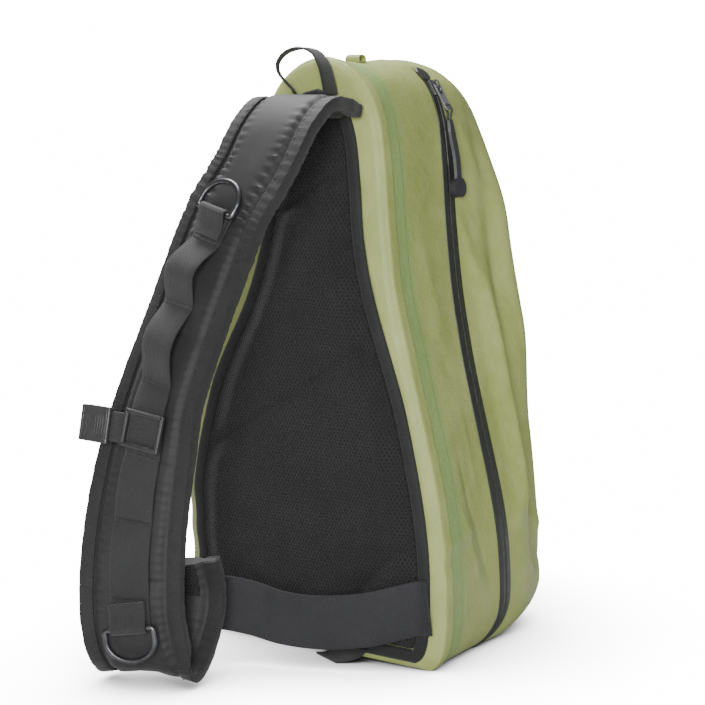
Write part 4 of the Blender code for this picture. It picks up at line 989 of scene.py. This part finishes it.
def panel_place(c, r):
    """A place on the panel's outer face."""
    z = lerp(PANEL_LOW, PANEL_HIGH, r / PANEL_ROWS)
    half = panel_half(z)
    x = half * (2 * c / PANEL_COLUMNS - 1)
    inside = min(half - abs(x), z - PANEL_LOW, PANEL_HIGH - z)
    puff = smoothstep(0.0, 0.016, inside)
    thick = lerp(PANEL_EDGE, PANEL_THICK, puff) - groove_depth(x, z) * puff
    thick += 0.0005 * puff * noise.noise(Vector((x * 40, 1.0, z * 40)))
    return Vector((swollen(x, z), BACK + lean(z) - GAP - thick, z))


bm = bmesh.new()
spots = [[panel_place(c, r) for c in range(PANEL_COLUMNS + 1)] for r in range(PANEL_ROWS + 1)]
bend_grid(bm, PANEL_COLUMNS, PANEL_ROWS, lambda c, r: spots[r][c],
          lambda c, r: (spots[r][c].x, spots[r][c].z))
rim = bmesh.ops.extrude_edge_only(bm, edges=[e for e in bm.edges if e.is_boundary])["geom"]
for vert in [g for g in rim if isinstance(g, bmesh.types.BMVert)]:
    vert.co.y = BACK + lean(vert.co.z) - GAP
bmesh.ops.holes_fill(bm, edges=[e for e in bm.edges if e.is_boundary], sides=0)
panel = finish_piece(bm, "quilted_back_panel", MESH_CLOTH)
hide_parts("back_panel")

# %% [markdown]
# ## Binding of the panel
# A tape folded over the panel's rim hides its raw edge. Its section is a low arch, carried once
# round the outline, with the slight ripples that sewing round a curve leaves.

# %% Bind the panel
outer = back_profile(BINDING_INSET)
inner = back_profile(BINDING_INSET + BINDING_WIDTH)
outer += [(swollen(-x, z), z) for x, z in reversed(outer[:-1])]
inner += [(swollen(-x, z), z) for x, z in reversed(inner[:-1])]
arch = [(0.0, 0.0), (0.0, 0.45), (0.06, 0.75), (0.18, 0.94), (0.4, 1.0), (0.6, 1.0), (0.8, 0.94),
        (0.94, 0.75), (1.0, 0.45), (1.0, 0.0)]
sections, run = [], 0.0
for k, ((xo, zo), (xi, zi)) in enumerate(zip(outer, inner)):
    run += 0.0 if k == 0 else (Vector(outer[k]) - Vector(outer[k - 1])).length
    ripple = 1 - 0.16 * (0.5 + 0.5 * noise.noise(Vector((run * 190, 0, 7))))
    sections.append([Vector((lerp(xo, xi, a), BACK + lean(lerp(zo, zi, a)) - GAP
                             - up * BINDING_THICK * ripple, lerp(zo, zi, a))) for a, up in arch])
binding = strip_piece("panel_edge_tape", sections, BINDING_TAPE, closed=True)
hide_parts("panel_binding")

# %% [markdown]
# ## Strap
# The strap is foam in smooth cloth. It starts at the top of the panel, folds over, comes down to
# the floor, turns back there and ends in the band. All pieces on it follow one route, a table of
# places with the strap's turn at each, so they twist together.

# %% Route of the strap
STRAP_WIDTH, PAD_THICK, FLANGE_WIDTH, FLANGE_THICK = 0.0725, 0.012, 0.0095, 0.005
TAPE_THICK, TAPE_PLAY = 0.0013, 0.0007
STRAP_TOP, STRAP_REACH = 0.3845, 0.142
StrapRow = namedtuple("StrapRow", "side reach rise turn web")
STRAP = (
    StrapRow(0.045, 0.000, 0.990, -3, 0.02), StrapRow(0.057, 0.091, 0.998, -3, 0.02),
    StrapRow(0.069, 0.218, 0.996, -3, 0.02), StrapRow(0.058, 0.344, 0.958, -4, 0.02),
    StrapRow(0.022, 0.454, 0.891, -5, 0.02), StrapRow(-0.083, 0.554, 0.810, -6, 0.02),
    StrapRow(-0.176, 0.649, 0.701, -6, -0.02), StrapRow(-0.244, 0.737, 0.603, -6, -0.06),
    StrapRow(-0.333, 0.808, 0.497, -3, -0.06), StrapRow(-0.382, 0.864, 0.397, 7, -0.03),
    StrapRow(-0.420, 0.909, 0.291, 14, 0.00), StrapRow(-0.428, 0.943, 0.196, 19, 0.02),
    StrapRow(-0.411, 0.963, 0.118, 21, 0.02), StrapRow(-0.386, 0.955, 0.066, 22, 0.02),
    StrapRow(-0.372, 0.920, 0.034, 22, 0.02), StrapRow(-0.365, 0.872, 0.021, 22, 0.02),
    StrapRow(-0.362, 0.820, 0.034, 22, 0.02), StrapRow(-0.363, 0.768, 0.062, 21, 0.02),
    StrapRow(-0.368, 0.718, 0.098, 21, 0.02), StrapRow(-0.376, 0.694, 0.132, 20, 0.02),
    StrapRow(-0.384, 0.700, 0.162, 20, 0.02), StrapRow(-0.390, 0.718, 0.188, 20, 0.02))
STRAP_ROOT = lean(STRAP_TOP) - PANEL_THICK - 3 * GAP
strap_points = [(row.side * HALF, BACK + lerp(STRAP_ROOT, -STRAP_REACH, row.reach),
                 lerp(PAD_THICK / 2, STRAP_TOP, row.rise)) for row in STRAP]
strap_widths = [(cos(radians(row.turn)), sin(radians(row.turn)), 0.0) for row in STRAP]
STRAP_ROUTE = Route(strap_points, strap_widths)
print("strap length", round(STRAP_ROUTE.length, 3))

# %% [markdown]
# ### Where the webbing is sewn down
# The ladder's tacks, its slack loops and both rings are placed by distance along the strap, as a
# sewer would mark them, so they keep their spacing if the strap's route changes.

# %% Places of the webbing's bar tacks
WEB_WIDTH, WEB_THICK, WEB_PLAY = 0.028, 0.0017, 0.0007
RING_WIDTH, RING_LENGTH, RING_WIRE = 0.038, 0.0255, 0.0038
RING_BORE_PLAY, RING_TAB_LENGTH = 0.0004, 0.017
UPPER_BAR = 0.243 * STRAP_ROUTE.length
LOWER_BAR = 0.791 * STRAP_ROUTE.length
LOOPS_FROM = UPPER_BAR + RING_TAB_LENGTH * 1.1
LOOPS_TO = LOWER_BAR - RING_TAB_LENGTH * 1.1
WEB_LOOPS = (              # share of the way, and how far the loop after it stands off
    (0.00, 0.0100), (0.19, 0.0085), (0.41, 0.0020), (0.61, 0.0015), (0.79, 0.0015), (1.00, 0.0))
TACKS = [lerp(LOOPS_FROM, LOOPS_TO, share) for share, _ in WEB_LOOPS]


def web_offset(distance):
    """Where the webbing's middle lies across the strap."""
    share = min(max(distance / STRAP_ROUTE.length, 0.0), 0.9999) * (len(STRAP) - 1)
    i = int(share)
    return STRAP_WIDTH * lerp(STRAP[i].web, STRAP[i + 1].web, share - i)


def web_bulge(distance):
    """How far the webbing stands off the pad between its tacks."""
    share = (distance - LOOPS_FROM) / (LOOPS_TO - LOOPS_FROM)
    for (low, bulge), (high, _) in zip(WEB_LOOPS, WEB_LOOPS[1:]):
        if low <= share <= high:
            return bulge * sin(pi * (share - low) / (high - low)) ** 1.5
    return 0.0


def web_top(distance):
    """Height of the webbing's outer face over the strap's middle layer."""
    return PAD_THICK / 2 + WEB_PLAY + web_bulge(distance) + WEB_THICK


print("tacks at", [round(t, 3) for t in TACKS])

# %% [markdown]
# ### Pad
# Foam is thickest in the middle and pinched at its sewn rim, where the cloth gathers in small
# puckers. Their height comes from a wave along the rim whose length wanders, so no two are alike.

# %% Shape the strap's pad
PLEATS = (0.125, 0.205, 0.290, 0.372, 0.455, 0.530, 0.585)   # metres along the strap


def pucker(distance, seed):
    """A wave of gathers along a seam, from -1 to 1."""
    wander = 2.5 * noise.noise(Vector((distance * 30, seed, 0)))
    return sin(2 * pi * distance / 0.0062 + wander) * (
        0.6 + 0.4 * noise.noise(Vector((distance * 60, seed, 3))))


def gather(distance):
    """How strongly the cloth is gathered: most beside the upper ring."""
    return 0.55 + 1.0 * bump_at(distance, UPPER_BAR - 0.012, 0.035)


def pad_section(frame):
    """The pad's section as (across, out) pairs."""
    half = STRAP_WIDTH / 2 - TAPE_THICK - TAPE_PLAY
    shoulder = half - FLANGE_WIDTH
    upper, lower = [], []
    count = 36
    for k in range(count + 1):
        across = half * (1 - 2 * k / count)
        inside = shoulder - abs(across)
        swell = smoothstep(0.0, PAD_THICK * 0.38, inside)
        thick = lerp(FLANGE_THICK / 2, PAD_THICK / 2, swell)
        seam = bump_at(abs(across), shoulder - 0.003, 0.0055)
        wave = pucker(frame.distance, 1 if across > 0 else 2)
        thick -= 0.0017 * seam * gather(frame.distance) * (0.6 + wave) * swell ** 0.5
        for place in PLEATS:
            thick -= 0.0010 * swell * bump_at(frame.distance, place + across * 0.12, 0.0035)
        thick += 0.0004 * swell * noise.noise(Vector((frame.distance * 35, across * 60, 5)))
        upper.append((across, thick))
        lower.append((across, -thick))
    return upper + lower[::-1]


strap_frames = STRAP_ROUTE.frames(0.0019)
strap_lengths = [f.distance for f in strap_frames]
pad = strip_piece("strap_foam_pad", sweep(strap_frames, pad_section), STRAP_CLOTH,
                  lengths=strap_lengths)
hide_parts("strap_pad")

# %% [markdown]
# ### Tapes along the strap's edges
# Each edge is wrapped by a folded tape. Its section is a C, and the same gathers that pinch the pad
# make its outer edge wavy.

# %% Wrap the strap's edges


def tape_pairs(side, frame):
    """The folded tape's C-shaped section on one side of the strap."""
    wave = pucker(frame.distance, 1 if side > 0 else 2)
    wide = 0.0009 * noise.noise(Vector((frame.distance * 120, side, 9))) * gather(frame.distance)
    half = STRAP_WIDTH / 2 + wide
    start = STRAP_WIDTH / 2 - TAPE_THICK - FLANGE_WIDTH + TAPE_PLAY
    near = FLANGE_THICK / 2 + TAPE_PLAY
    far = near + TAPE_THICK * (1 + 0.42 * wave * gather(frame.distance))
    inner = half - TAPE_THICK
    pairs = [(start, -near), (start, -far * 0.97), (lerp(start, inner, 0.12), -far),
             (lerp(start, inner, 0.5), -far * 1.03), (lerp(start, inner, 0.85), -far)]
    for k in range(7):
        angle = radians(-60 + 120 * k / 6)
        pairs.append((inner + TAPE_THICK * cos(angle), far * sin(angle) / sin(radians(60)) * 0.96))
    pairs += [(lerp(start, inner, 0.85), far), (lerp(start, inner, 0.5), far * 1.03),
              (lerp(start, inner, 0.12), far), (start, far * 0.97), (start, near),
              (inner - 0.0004, near), (inner - 0.0004, -near)]
    return [(side * across, out) for across, out in pairs]


for side, word in ((-1, "left"), (1, "right")):
    sections = sweep(strap_frames, lambda f: tape_pairs(side, f))
    tape = strip_piece("strap_edge_tape_" + word, sections, BINDING_TAPE, lengths=strap_lengths)
    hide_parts("strap_binding_" + word)

# %% [markdown]
# ### Stitches
# Two lines of thread hold each tape, and one of them is sewn here. A stitch is a grain of thread a
# few millimetres long, so one small shape is made and copied along the seam, standing just proud of
# the tape.

# %% Sew the tapes


def add_stitch(bm, frame, across, out, length, wide):
    """One stitch: a small box with its ends drawn in, lying on the cloth."""
    turn = Matrix((frame.along, frame.width, frame.normal)).transposed().to_4x4()
    place = Matrix.Translation(at(frame, across, out)) @ turn @ Matrix.Diagonal(
        (length, wide, wide * 0.7, 1.0))
    made = bmesh.ops.create_cube(bm, size=1.0, matrix=place)["verts"]
    layer = bm.loops.layers.uv.verify()
    for vert in made:
        local = (vert.co - at(frame, across, out))
        if local.dot(frame.normal) > 0:
            vert.co -= frame.along * local.dot(frame.along) * 0.35
        for loop in vert.link_loops:
            loop[layer].uv = (frame.distance + local.dot(frame.along), local.dot(frame.width))


bm = bmesh.new()
for side in (-1, 1):
    line = side * (STRAP_WIDTH / 2 - TAPE_THICK - FLANGE_WIDTH + 0.0021)
    height = FLANGE_THICK / 2 + TAPE_PLAY + TAPE_THICK
    for f in STRAP_ROUTE.frames(0.0034, 0.004, STRAP_ROUTE.length - 0.004):
        lift = height * (1 + 0.10 * pucker(f.distance, 1 if side > 0 else 2)) + 0.0001
        add_stitch(bm, f, line, lift, 0.0024, 0.0005)
stitches = finish_piece(bm, "strap_edge_stitches", THREAD, sharp=60)

# %% [markdown]
# ### Mesh at the strap's end
# The last bit of the strap's inner face is spacer mesh. It is a thin patch with rounded edges that
# follows the same route on the pad's inner side.

# %% Lay the mesh patch
MESH_LENGTH, MESH_THICK = 0.022, 0.0012
flat = STRAP_WIDTH - 2 * (TAPE_THICK + FLANGE_WIDTH + PAD_THICK * 0.4)
patch_pairs = round_section(flat / 2, MESH_THICK, 0.0, -PAD_THICK / 2 - TAPE_PLAY - MESH_THICK)
patch_frames = STRAP_ROUTE.frames(0.0015, STRAP_ROUTE.length - MESH_LENGTH)
patch = strip_piece("strap_mesh_patch", sweep(patch_frames, patch_pairs), MESH_CLOTH)
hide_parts("strap_mesh")

# %% [markdown]
# ## Webbing on the strap
# A ladder of webbing is sewn down at six bar tacks and stands off the strap between them, so gear
# can be clipped to it. The first two loops are slack and bow out, and the rest lie nearly flat.

# %% Lay the webbing ladder


def web_pairs(frame):
    """The webbing's section, a little thinner and narrower at each tack."""
    low = web_top(frame.distance) - WEB_THICK
    near = min(abs(frame.distance - t) for t in TACKS)
    low -= 0.0004 * bump_at(near, 0.0, 0.0025)
    half = WEB_WIDTH / 2 * (1 - 0.02 * bump_at(near, 0.0, 0.004))
    return round_section(half, WEB_THICK, web_offset(frame.distance), low)


web_frames = STRAP_ROUTE.frames(0.0016, UPPER_BAR - RING_WIRE, LOWER_BAR + RING_WIRE)
webbing = strip_piece("ladder_webbing", sweep(web_frames, web_pairs), WEBBING,
                      lengths=[f.distance for f in web_frames])
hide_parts("daisy_webbing")

# %% [markdown]
# ### Bar tacks
# A bar tack is a dense zigzag of thread. A rounded bar stands for it, ridged across by stitches.

# %% Sew the bar tacks


def add_tack(bm, frame, across, out, wide, tall, high=0.0009):
    """A low ridged bar across a piece of webbing."""
    turn = Matrix((frame.width, frame.along, frame.normal)).transposed().to_4x4()
    place = Matrix.Translation(at(frame, across, out)) @ turn
    columns = 24
    made = bmesh.ops.create_grid(bm, x_segments=columns * 2, y_segments=4, size=1.0)["verts"]
    layer = bm.loops.layers.uv.verify()
    for vert in made:
        s, t = vert.co.x, vert.co.y
        column = round((s + 1) * columns)
        ridge = 1.0 if column % 2 else 0.72
        rise = high * ridge * sqrt(max(0.0, 1 - t * t)) * sqrt(max(0.0, 1 - s ** 8))
        shift = 0.00025 * (1 if column % 2 else -1)
        for loop in vert.link_loops:
            loop[layer].uv = (s * wide / 2, t * tall / 2)
        vert.co = place @ Vector((s * wide / 2, t * tall / 2 + shift, rise - 0.0002))


bm = bmesh.new()
for tack in TACKS:
    f = STRAP_ROUTE.frame(tack)
    add_tack(bm, f, web_offset(tack), web_top(tack) - 0.0003, WEB_WIDTH * 0.94, 0.0026)
tacks = finish_piece(bm, "bar_tacks", THREAD, sharp=60)

# %% [markdown]
# ## D-rings and their tabs
# Each ring is a steel wire bent to a D. Its straight bar lies in a folded tab of webbing, so the
# ring swings about it. The wire is a round section carried once round the D, and the tab is a
# strip bent over the bar.

# %% Bend the rings and tabs


def ring_outline():
    """The D's middle line: a bar on the X axis and a bow towards +Y."""
    half = (RING_WIDTH - RING_WIRE) / 2
    reach = RING_LENGTH - RING_WIRE
    side, corner = reach * 0.35, RING_WIRE * 0.45
    points = [(-half + corner + (2 * half - 2 * corner) * k / 12, 0.0) for k in range(13)]
    points += [(half - corner * 0.3, corner * 0.3), (half, corner), (half, side * 0.5)]
    points += [(half * cos(a), side + (reach - side) * sin(a)) for a in
               [pi * k / 36 for k in range(37)]]
    return points + [(-half, side * 0.5), (-half, corner), (-half + corner * 0.3, corner * 0.3)]


def tab_line():
    """The folded tab's middle line in the plane across the bar, from tail to tail."""
    thick = WEB_THICK * 0.8
    outer = RING_WIRE / 2 + RING_BORE_PLAY + thick
    middle = outer - thick / 2
    low, high = -outer + thick / 2, -outer + thick * 1.75
    angles = [radians(-88 + 180 * k / 14) for k in range(15)]
    turn = [(middle * cos(a), middle * sin(a)) for a in angles]
    back = [(-RING_TAB_LENGTH * 0.30, high + 0.0016), (-RING_TAB_LENGTH * 0.52, high + 0.0001)]
    return [(-RING_TAB_LENGTH, low), (-RING_TAB_LENGTH * 0.6, low), (-RING_TAB_LENGTH * 0.3, low)
            ] + turn + back + [(-RING_TAB_LENGTH * 0.75, high), (-RING_TAB_LENGTH, high)]


def planar_strip(name, line, place, x_axis, y_axis, half, thick, mat, body="base"):
    """A strip that follows a line in the plane of two axes and is as wide as that plane is deep."""
    side = x_axis.cross(y_axis)
    points = [place + x_axis * x + y_axis * y for x, y in line]
    route = Route(points, [tuple(side)] * len(points), steps=4)
    pairs = round_section(half, thick, 0.0, -thick / 2)
    return strip_piece(name, sweep(route.frames(0.0012), pairs), mat, body)


def dress_ring(word, distance, up, tilt):
    """A ring and its tab, in the place that the frame gives them."""
    frame = STRAP_ROUTE.frame(distance)
    out = web_top(distance) + 2 * GAP + RING_WIRE / 2 + RING_BORE_PLAY + WEB_THICK * 0.8
    place = at(frame, web_offset(distance), out)
    away, across = -frame.along * up, frame.width * up
    tab = planar_strip(word + "_webbing_tab", tab_line(), place, away, frame.normal,
                       WEB_WIDTH * 0.45, WEB_THICK * 0.8, WEBBING)
    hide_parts(word + "_ring_tab")
    pointing = Matrix.Rotation(radians(tilt), 3, across) @ away
    lift = across.cross(pointing)
    line = [place + across * x + pointing * y for x, y in ring_outline()]
    sections = []
    for k, point in enumerate(line):
        way = (line[(k + 1) % len(line)] - line[k - 1]).normalized()
        flat_way = way.cross(lift)
        sections.append([point + (flat_way * cos(a) + lift * sin(a)) * RING_WIRE / 2
                         for a in [2 * pi * j / 18 for j in range(18)]])
    wire = strip_piece(word + "_steel_ring", sections, RING_STEEL, word + "_ring", closed=True)
    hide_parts(word + "_d_ring")
    bm = bmesh.new()
    foot = frame._replace(place=place - away * RING_TAB_LENGTH * 0.66, along=-away)
    sunk = -WEB_THICK * 0.8 * 0.25 - 0.0021 + WEB_THICK * 0.4
    add_tack(bm, foot, 0.0, sunk, WEB_WIDTH * 0.8, 0.0024)
    tack = finish_piece(bm, word + "_tab_tack", THREAD, sharp=60)


dress_ring("upper", UPPER_BAR, 1, -6)
dress_ring("lower", LOWER_BAR, -1, -1.5)

# %% [markdown]
# ## Chest strap
# A moulded frame slides on the ladder and holds a short strap that ends in half a buckle. The frame
# and the buckle are the frame's own nodes. Their corners are welded and bevelled by modifiers, and
# the buckle gets the ribs and the tongue that the mould gives it.

# %% Chest webbing and hard pieces


def soften(node, finish, width, segments=3, angle=35):
    """Weld a node's loose triangles, round its edges and give it a finish."""
    obj = NODES[node]
    weld = obj.modifiers.new("weld", "WELD")
    weld.merge_threshold = 0.00001
    if width:
        bevel = obj.modifiers.new("round", "BEVEL")
        bevel.width = width
        bevel.segments = segments
        bevel.limit_method = "ANGLE"
        bevel.angle_limit = radians(angle)
        bevel.harden_normals = False
    for slot in obj.material_slots:
        slot.material = finish
    print(node, "rounded by", width)
    return obj


def chest_axes(tip):
    """Place and axes of the chest strap: across, up the strap and outwards."""
    distance = lerp(LOOPS_FROM, LOOPS_TO, 0.54)
    frame = STRAP_ROUTE.frame(distance)
    angle = radians(tip)
    right = frame.width * cos(angle) - frame.along * sin(angle)
    up = -frame.along * cos(angle) - frame.width * sin(angle)
    base = max(web_top(distance + d) for d in (-0.0125, 0.0, 0.0125)) + 2 * WEB_PLAY
    return at(frame, web_offset(distance) + 0.002, base), right, up, right.cross(up)


soften("sternum_slider", PLASTIC, 0.0003)
soften("sternum_buckle", BUCKLE_PLASTIC, 0.0003)
CHEST, RIGHT, UP, OUT = chest_axes(6)
CHEST_LEFT, CHEST_RIGHT = -0.016 - 0.018, 0.016 - 0.0032
web_middle = WEB_THICK / 2
line = []
for k in range(31):
    x = lerp(CHEST_LEFT, CHEST_RIGHT, k / 30)
    wave = 0.0005 * bump_at(x, -0.021, 0.003) if x > -0.03 else 0.0
    line.append(CHEST + RIGHT * x + OUT * (web_middle + wave))
route = Route(line, [tuple(UP)] * len(line), steps=2)
pairs = round_section(0.010, WEB_THICK, 0.0, -WEB_THICK / 2)
chest_web = strip_piece("chest_webbing", sweep(route.frames(0.0012), pairs), WEBBING)
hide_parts("sternum_webbing")

# %% [markdown]
# ### Details of the frame and the buckle
# A bevelled lip runs round the frame's window, and ribs for the thumb stand on the buckle's face.
# Each is a small box, bevelled in place.

# %% Add the moulded details


def add_bar(bm, place, right, up, out, size, radius):
    """A bar with rounded edges, centred at place."""
    turn = Matrix((right, up, out)).transposed().to_4x4()
    made = bmesh.ops.create_cube(bm, size=1.0, matrix=Matrix.Translation(place) @ turn
                                 @ Matrix.Diagonal((*size, 1.0)))["verts"]
    edges = list({e for v in made for e in v.link_edges})
    bmesh.ops.bevel(bm, geom=edges, offset=radius, segments=3, profile=0.5, affect="EDGES",
                    material=-1)


bm = bmesh.new()
tip_place, tip_right, tip_up, tip_out = chest_axes(1.5)
face = WEB_THICK + GAP + 0.003
for x in (-0.0144, 0.0144):
    add_bar(bm, tip_place + tip_right * x + tip_out * face, tip_right, tip_up, tip_out,
            (0.0016, 0.0205, 0.0010), 0.0004)
for y in (-0.0109, 0.0109):
    add_bar(bm, tip_place + tip_up * y + tip_out * face, tip_right, tip_up, tip_out,
            (0.0275, 0.0016, 0.0010), 0.0004)
frame_lip = finish_piece(bm, "chest_frame_lip", PLASTIC, sharp=40)
bm = bmesh.new()
middle = CHEST_LEFT + 0.0065 - 0.012
top = WEB_THICK / 2 + 0.0085 / 2
for x in (-0.0098, 0.0098):
    add_bar(bm, CHEST + RIGHT * (middle + x) + OUT * (top + 0.0001), RIGHT, UP, OUT,
            (0.0018, 0.0205, 0.0012), 0.0004)
for k in range(4):
    add_bar(bm, CHEST + RIGHT * (middle + 0.0012 + 0.0021 * k) + OUT * top, RIGHT, UP, OUT,
            (0.0009, 0.0130, 0.0009), 0.0003)
for y in (-0.0080, 0.0080):
    add_bar(bm, CHEST + RIGHT * (middle - 0.0065) + UP * y + OUT * (WEB_THICK / 2), RIGHT, UP, OUT,
            (0.0080, 0.0022, 0.0028), 0.0006)
buckle_ribs = finish_piece(bm, "buckle_ribs", BUCKLE_PLASTIC, sharp=40)

# %% [markdown]
# ## Band, base tab and hand loop
# Three more strips of webbing: the wide band across the bottom into which the strap's end is sewn,
# a tab that lies on the floor, and the hand loop on top. Each is a rounded section on its route.

# %% Lay the band, the tab and the loop
BAND_HEIGHT, BAND_THICK, BASE_TAB_WIDTH, HAUL_WIDTH, HAUL_RISE = 0.038, 0.002, 0.027, 0.016, 0.031
BAND = ((0.932, 0.007, 1.229), (0.860, 0.008, 1.195), (0.770, 0.046, 1.120), (0.585, 0.140, 0.968),
        (0.341, 0.238, 0.891), (0.113, 0.306, 0.925), (-0.058, 0.358, 1.055),
        (-0.182, 0.446, 1.184), (-0.274, 0.541, 1.225), (-0.412, 0.611, 1.237))
HAUL = ((-0.100, 0.00, 124), (-0.125, 0.12, 124), (-0.215, 0.42, 124), (-0.235, 0.66, 123),
        (-0.170, 0.90, 118), (-0.060, 1.00, 110), (0.050, 0.92, 100), (0.115, 0.66, 94),
        (0.150, 0.30, 92), (0.170, 0.00, 90))
BASE_TAB = ((0.350, 0.000, 4.70, 0, 60), (0.325, 0.022, 2.30, -7, 48),
            (0.275, 0.053, 0.95, -15, 18), (0.224, 0.075, 0.54, -23, 0))


def webbing_strip(name, route, width, thick, mat, node):
    """A strip of webbing on a route, in the place of a node."""
    pairs = round_section(width / 2, thick, 0.0, -thick / 2)
    frames = route.frames(0.0016)
    piece = strip_piece(name, sweep(frames, pairs), mat, lengths=[f.distance for f in frames])
    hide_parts(node)
    return piece


root = BACK - BINDING_THICK - 2 * GAP - BAND_THICK / 2
points = [(s * HALF, root - r * STRAP_REACH, h * BAND_HEIGHT) for s, r, h in BAND]
webbing_strip("bottom_webbing_band", Route(points, [(0, 0, 1)] * len(points)), BAND_HEIGHT,
              BAND_THICK, BAND_CLOTH, "bottom_band")
root = STRAP_TOP + PAD_THICK / 2 + GAP
y = BACK + lean(root) - BINDING_THICK - 2 * GAP - HAUL_WIDTH / 2
points = [(s * HALF, y, root + rise * HAUL_RISE) for s, rise, _ in HAUL]
widths = [(cos(radians(turn)), sin(radians(turn)), 0.0) for _, _, turn in HAUL]
webbing_strip("hand_loop", Route(points, widths), HAUL_WIDTH, WEB_THICK, WEBBING, "haul_loop")
root = BACK - BINDING_THICK - 2 * GAP - WEB_THICK / 2
pairs = round_section(BASE_TAB_WIDTH / 2, WEB_THICK, 0.0, -WEB_THICK / 2)
sections = []
for side, reach, high, turn, pitch in catmull(BASE_TAB, 8):
    width = Vector((cos(radians(turn)), sin(radians(turn)), 0.0))
    normal = Vector((0.0, -sin(radians(pitch)), cos(radians(pitch))))
    here = Frame(0.0, Vector((side * HALF, root - reach * STRAP_REACH, high * WEB_THICK)),
                 normal.cross(width), width, normal)
    sections.append([at(here, *p) for p in pairs])
base_tab = strip_piece("floor_tab", sections, WEBBING)
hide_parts("base_tab")

# %% [markdown]
# ## Lash tab
# On the crown a scrap of the shell's own cloth is folded into a small loop.

# %% Fold the lash tab
height, length, tab_width, wall = 0.0062, 0.0095, 0.012, 0.0013
LASH_DEPTH, CROWN, LASH_SINK = 0.33, 0.9955, 0.0018
place = Vector((0.0, BACK + DEPTH * LASH_DEPTH, HEIGHT * CROWN + GAP - LASH_SINK))
line = [(-length / 2 + wall * 1.2, wall / 2), (-length / 2 + wall / 2, height * 0.25)]
line += [((length - wall) / 2 * cos(a), height * 0.55 + (height * 0.45 - wall / 2) * sin(a))
         for a in [radians(180 - 22.5 * k) for k in range(9)]]
line += [(length / 2 - wall / 2, height * 0.25), (length / 2 - wall * 1.2, wall / 2),
         (0.0, wall / 2), (-length / 2 + wall * 1.6, wall / 2)]
lash = planar_strip("folded_lash_tab", line, place, Vector((0, 1, 0)), Vector((0, 0, 1)),
                    tab_width / 2, wall, TAB_CLOTH)
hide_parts("lash_tab")

# %% [markdown]
# ## Zipper
# The zipper is the watertight kind: two strips of film meet over the teeth and leave one dark line
# where their lips press together. The tape is a shallow arch with a thin crease in the middle,
# carried down the slot's two edges.

# %% Lay the zipper
ZIP_MIDDLE = 0.5 * (SLOT_NEAR + SLOT_FAR)
ZIP_ARCH = (               # share across the strip, and height above the cloth in metres
    (-1.00, -0.0012), (-1.00, 0.0001), (-0.94, 0.0005), (-0.60, 0.0005), (-0.52, 0.0008),
    (-0.10, 0.0010), (-0.03, 0.0005), (0.00, 0.0001), (0.03, 0.0005), (0.10, 0.0010),
    (0.52, 0.0008), (0.60, 0.0005), (0.94, 0.0005), (1.00, 0.0001), (1.00, -0.0012))
ZIP_NARROW, ZIP_WIDE = 0.028, 0.043     # half widths in shares of DEPTH, at the top and lower down


def zip_place(lines, i, across, out):
    """A place on the zipper's strip at outline point i, read between the slices in lines."""
    half = lerp(ZIP_WIDE, ZIP_NARROW, smoothstep(0.78, 0.96, SHARES[i][1]))
    depth = ZIP_MIDDLE + across * half
    step = (depth - ZIP_LINES[0]) / (ZIP_LINES[1] - ZIP_LINES[0])
    k = min(max(int(step), 0), len(lines) - 2)
    (points, normals), (more, _) = lines[k], lines[k + 1]
    return points[i].lerp(more[i], step - k) + normals[i] * out


ZIP_LINES = [ZIP_MIDDLE + 0.011 * k for k in range(-5, 6)]
zip_lines = [slice_points(slice_at(depth), detail=False) for depth in ZIP_LINES]
rows = [i for i in range(HALF_COUNT) if SLOT_LOW * 0.5 < SHARES[i][1] <= SLOT_HIGH]
sections = [[zip_place(zip_lines, i, across, out) for across, out in ZIP_ARCH]
            for i in reversed(rows)]
zip_strip = strip_piece("watertight_zip", sections, ZIP_FILM)
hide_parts("zip_tape")

# %% [markdown]
# ### The dark line
# Where the two lips meet, a thread-thin strip runs on the zipper's middle line. It starts below the
# garage, which covers the top of the slot.

# %% Route of the zipper and its middle line
low, high = rows[0], rows[-1]
points = [zip_place(zip_lines, i, 0.0, 0.0) for i in range(high + 4, low, -1)]
ZIP_ROUTE = Route(points, [(0, 1, 0)] * len(points), steps=4)
slot_top = zip_place(zip_lines, high, 0.0, 0.0)
SLOT_START = ZIP_ROUTE.lengths[min(range(len(ZIP_ROUTE.points)),
                                   key=lambda i: (ZIP_ROUTE.points[i] - slot_top).length)]
pairs = round_section(0.0004, 0.0004, 0.0, 0.0, corner=2)
seam_frames = ZIP_ROUTE.frames(0.003, SLOT_START + 0.012, ZIP_ROUTE.length - 0.001)
seam = strip_piece("zip_lip_line", sweep(seam_frames, pairs), ZIP_LINE)

# %% [markdown]
# ## Garage, slider and puller
# An oval cover holds the slider at the zipper's top. The slider's metal tab hangs from a bridge,
# and a soft rubber puller with a round, bare end hangs in the tab's hole by a loop of cord.

# %% Dress the slider's pieces
soften("zip_garage", ZIP_FILM, 0.0004, segments=3)
soften("zip_slider", SLIDER_METAL, 0.0002, segments=2)
soften("zip_pull_tab", TAB_METAL, 0.00025, segments=3)
soften("zip_puller", RUBBER, 0.0)
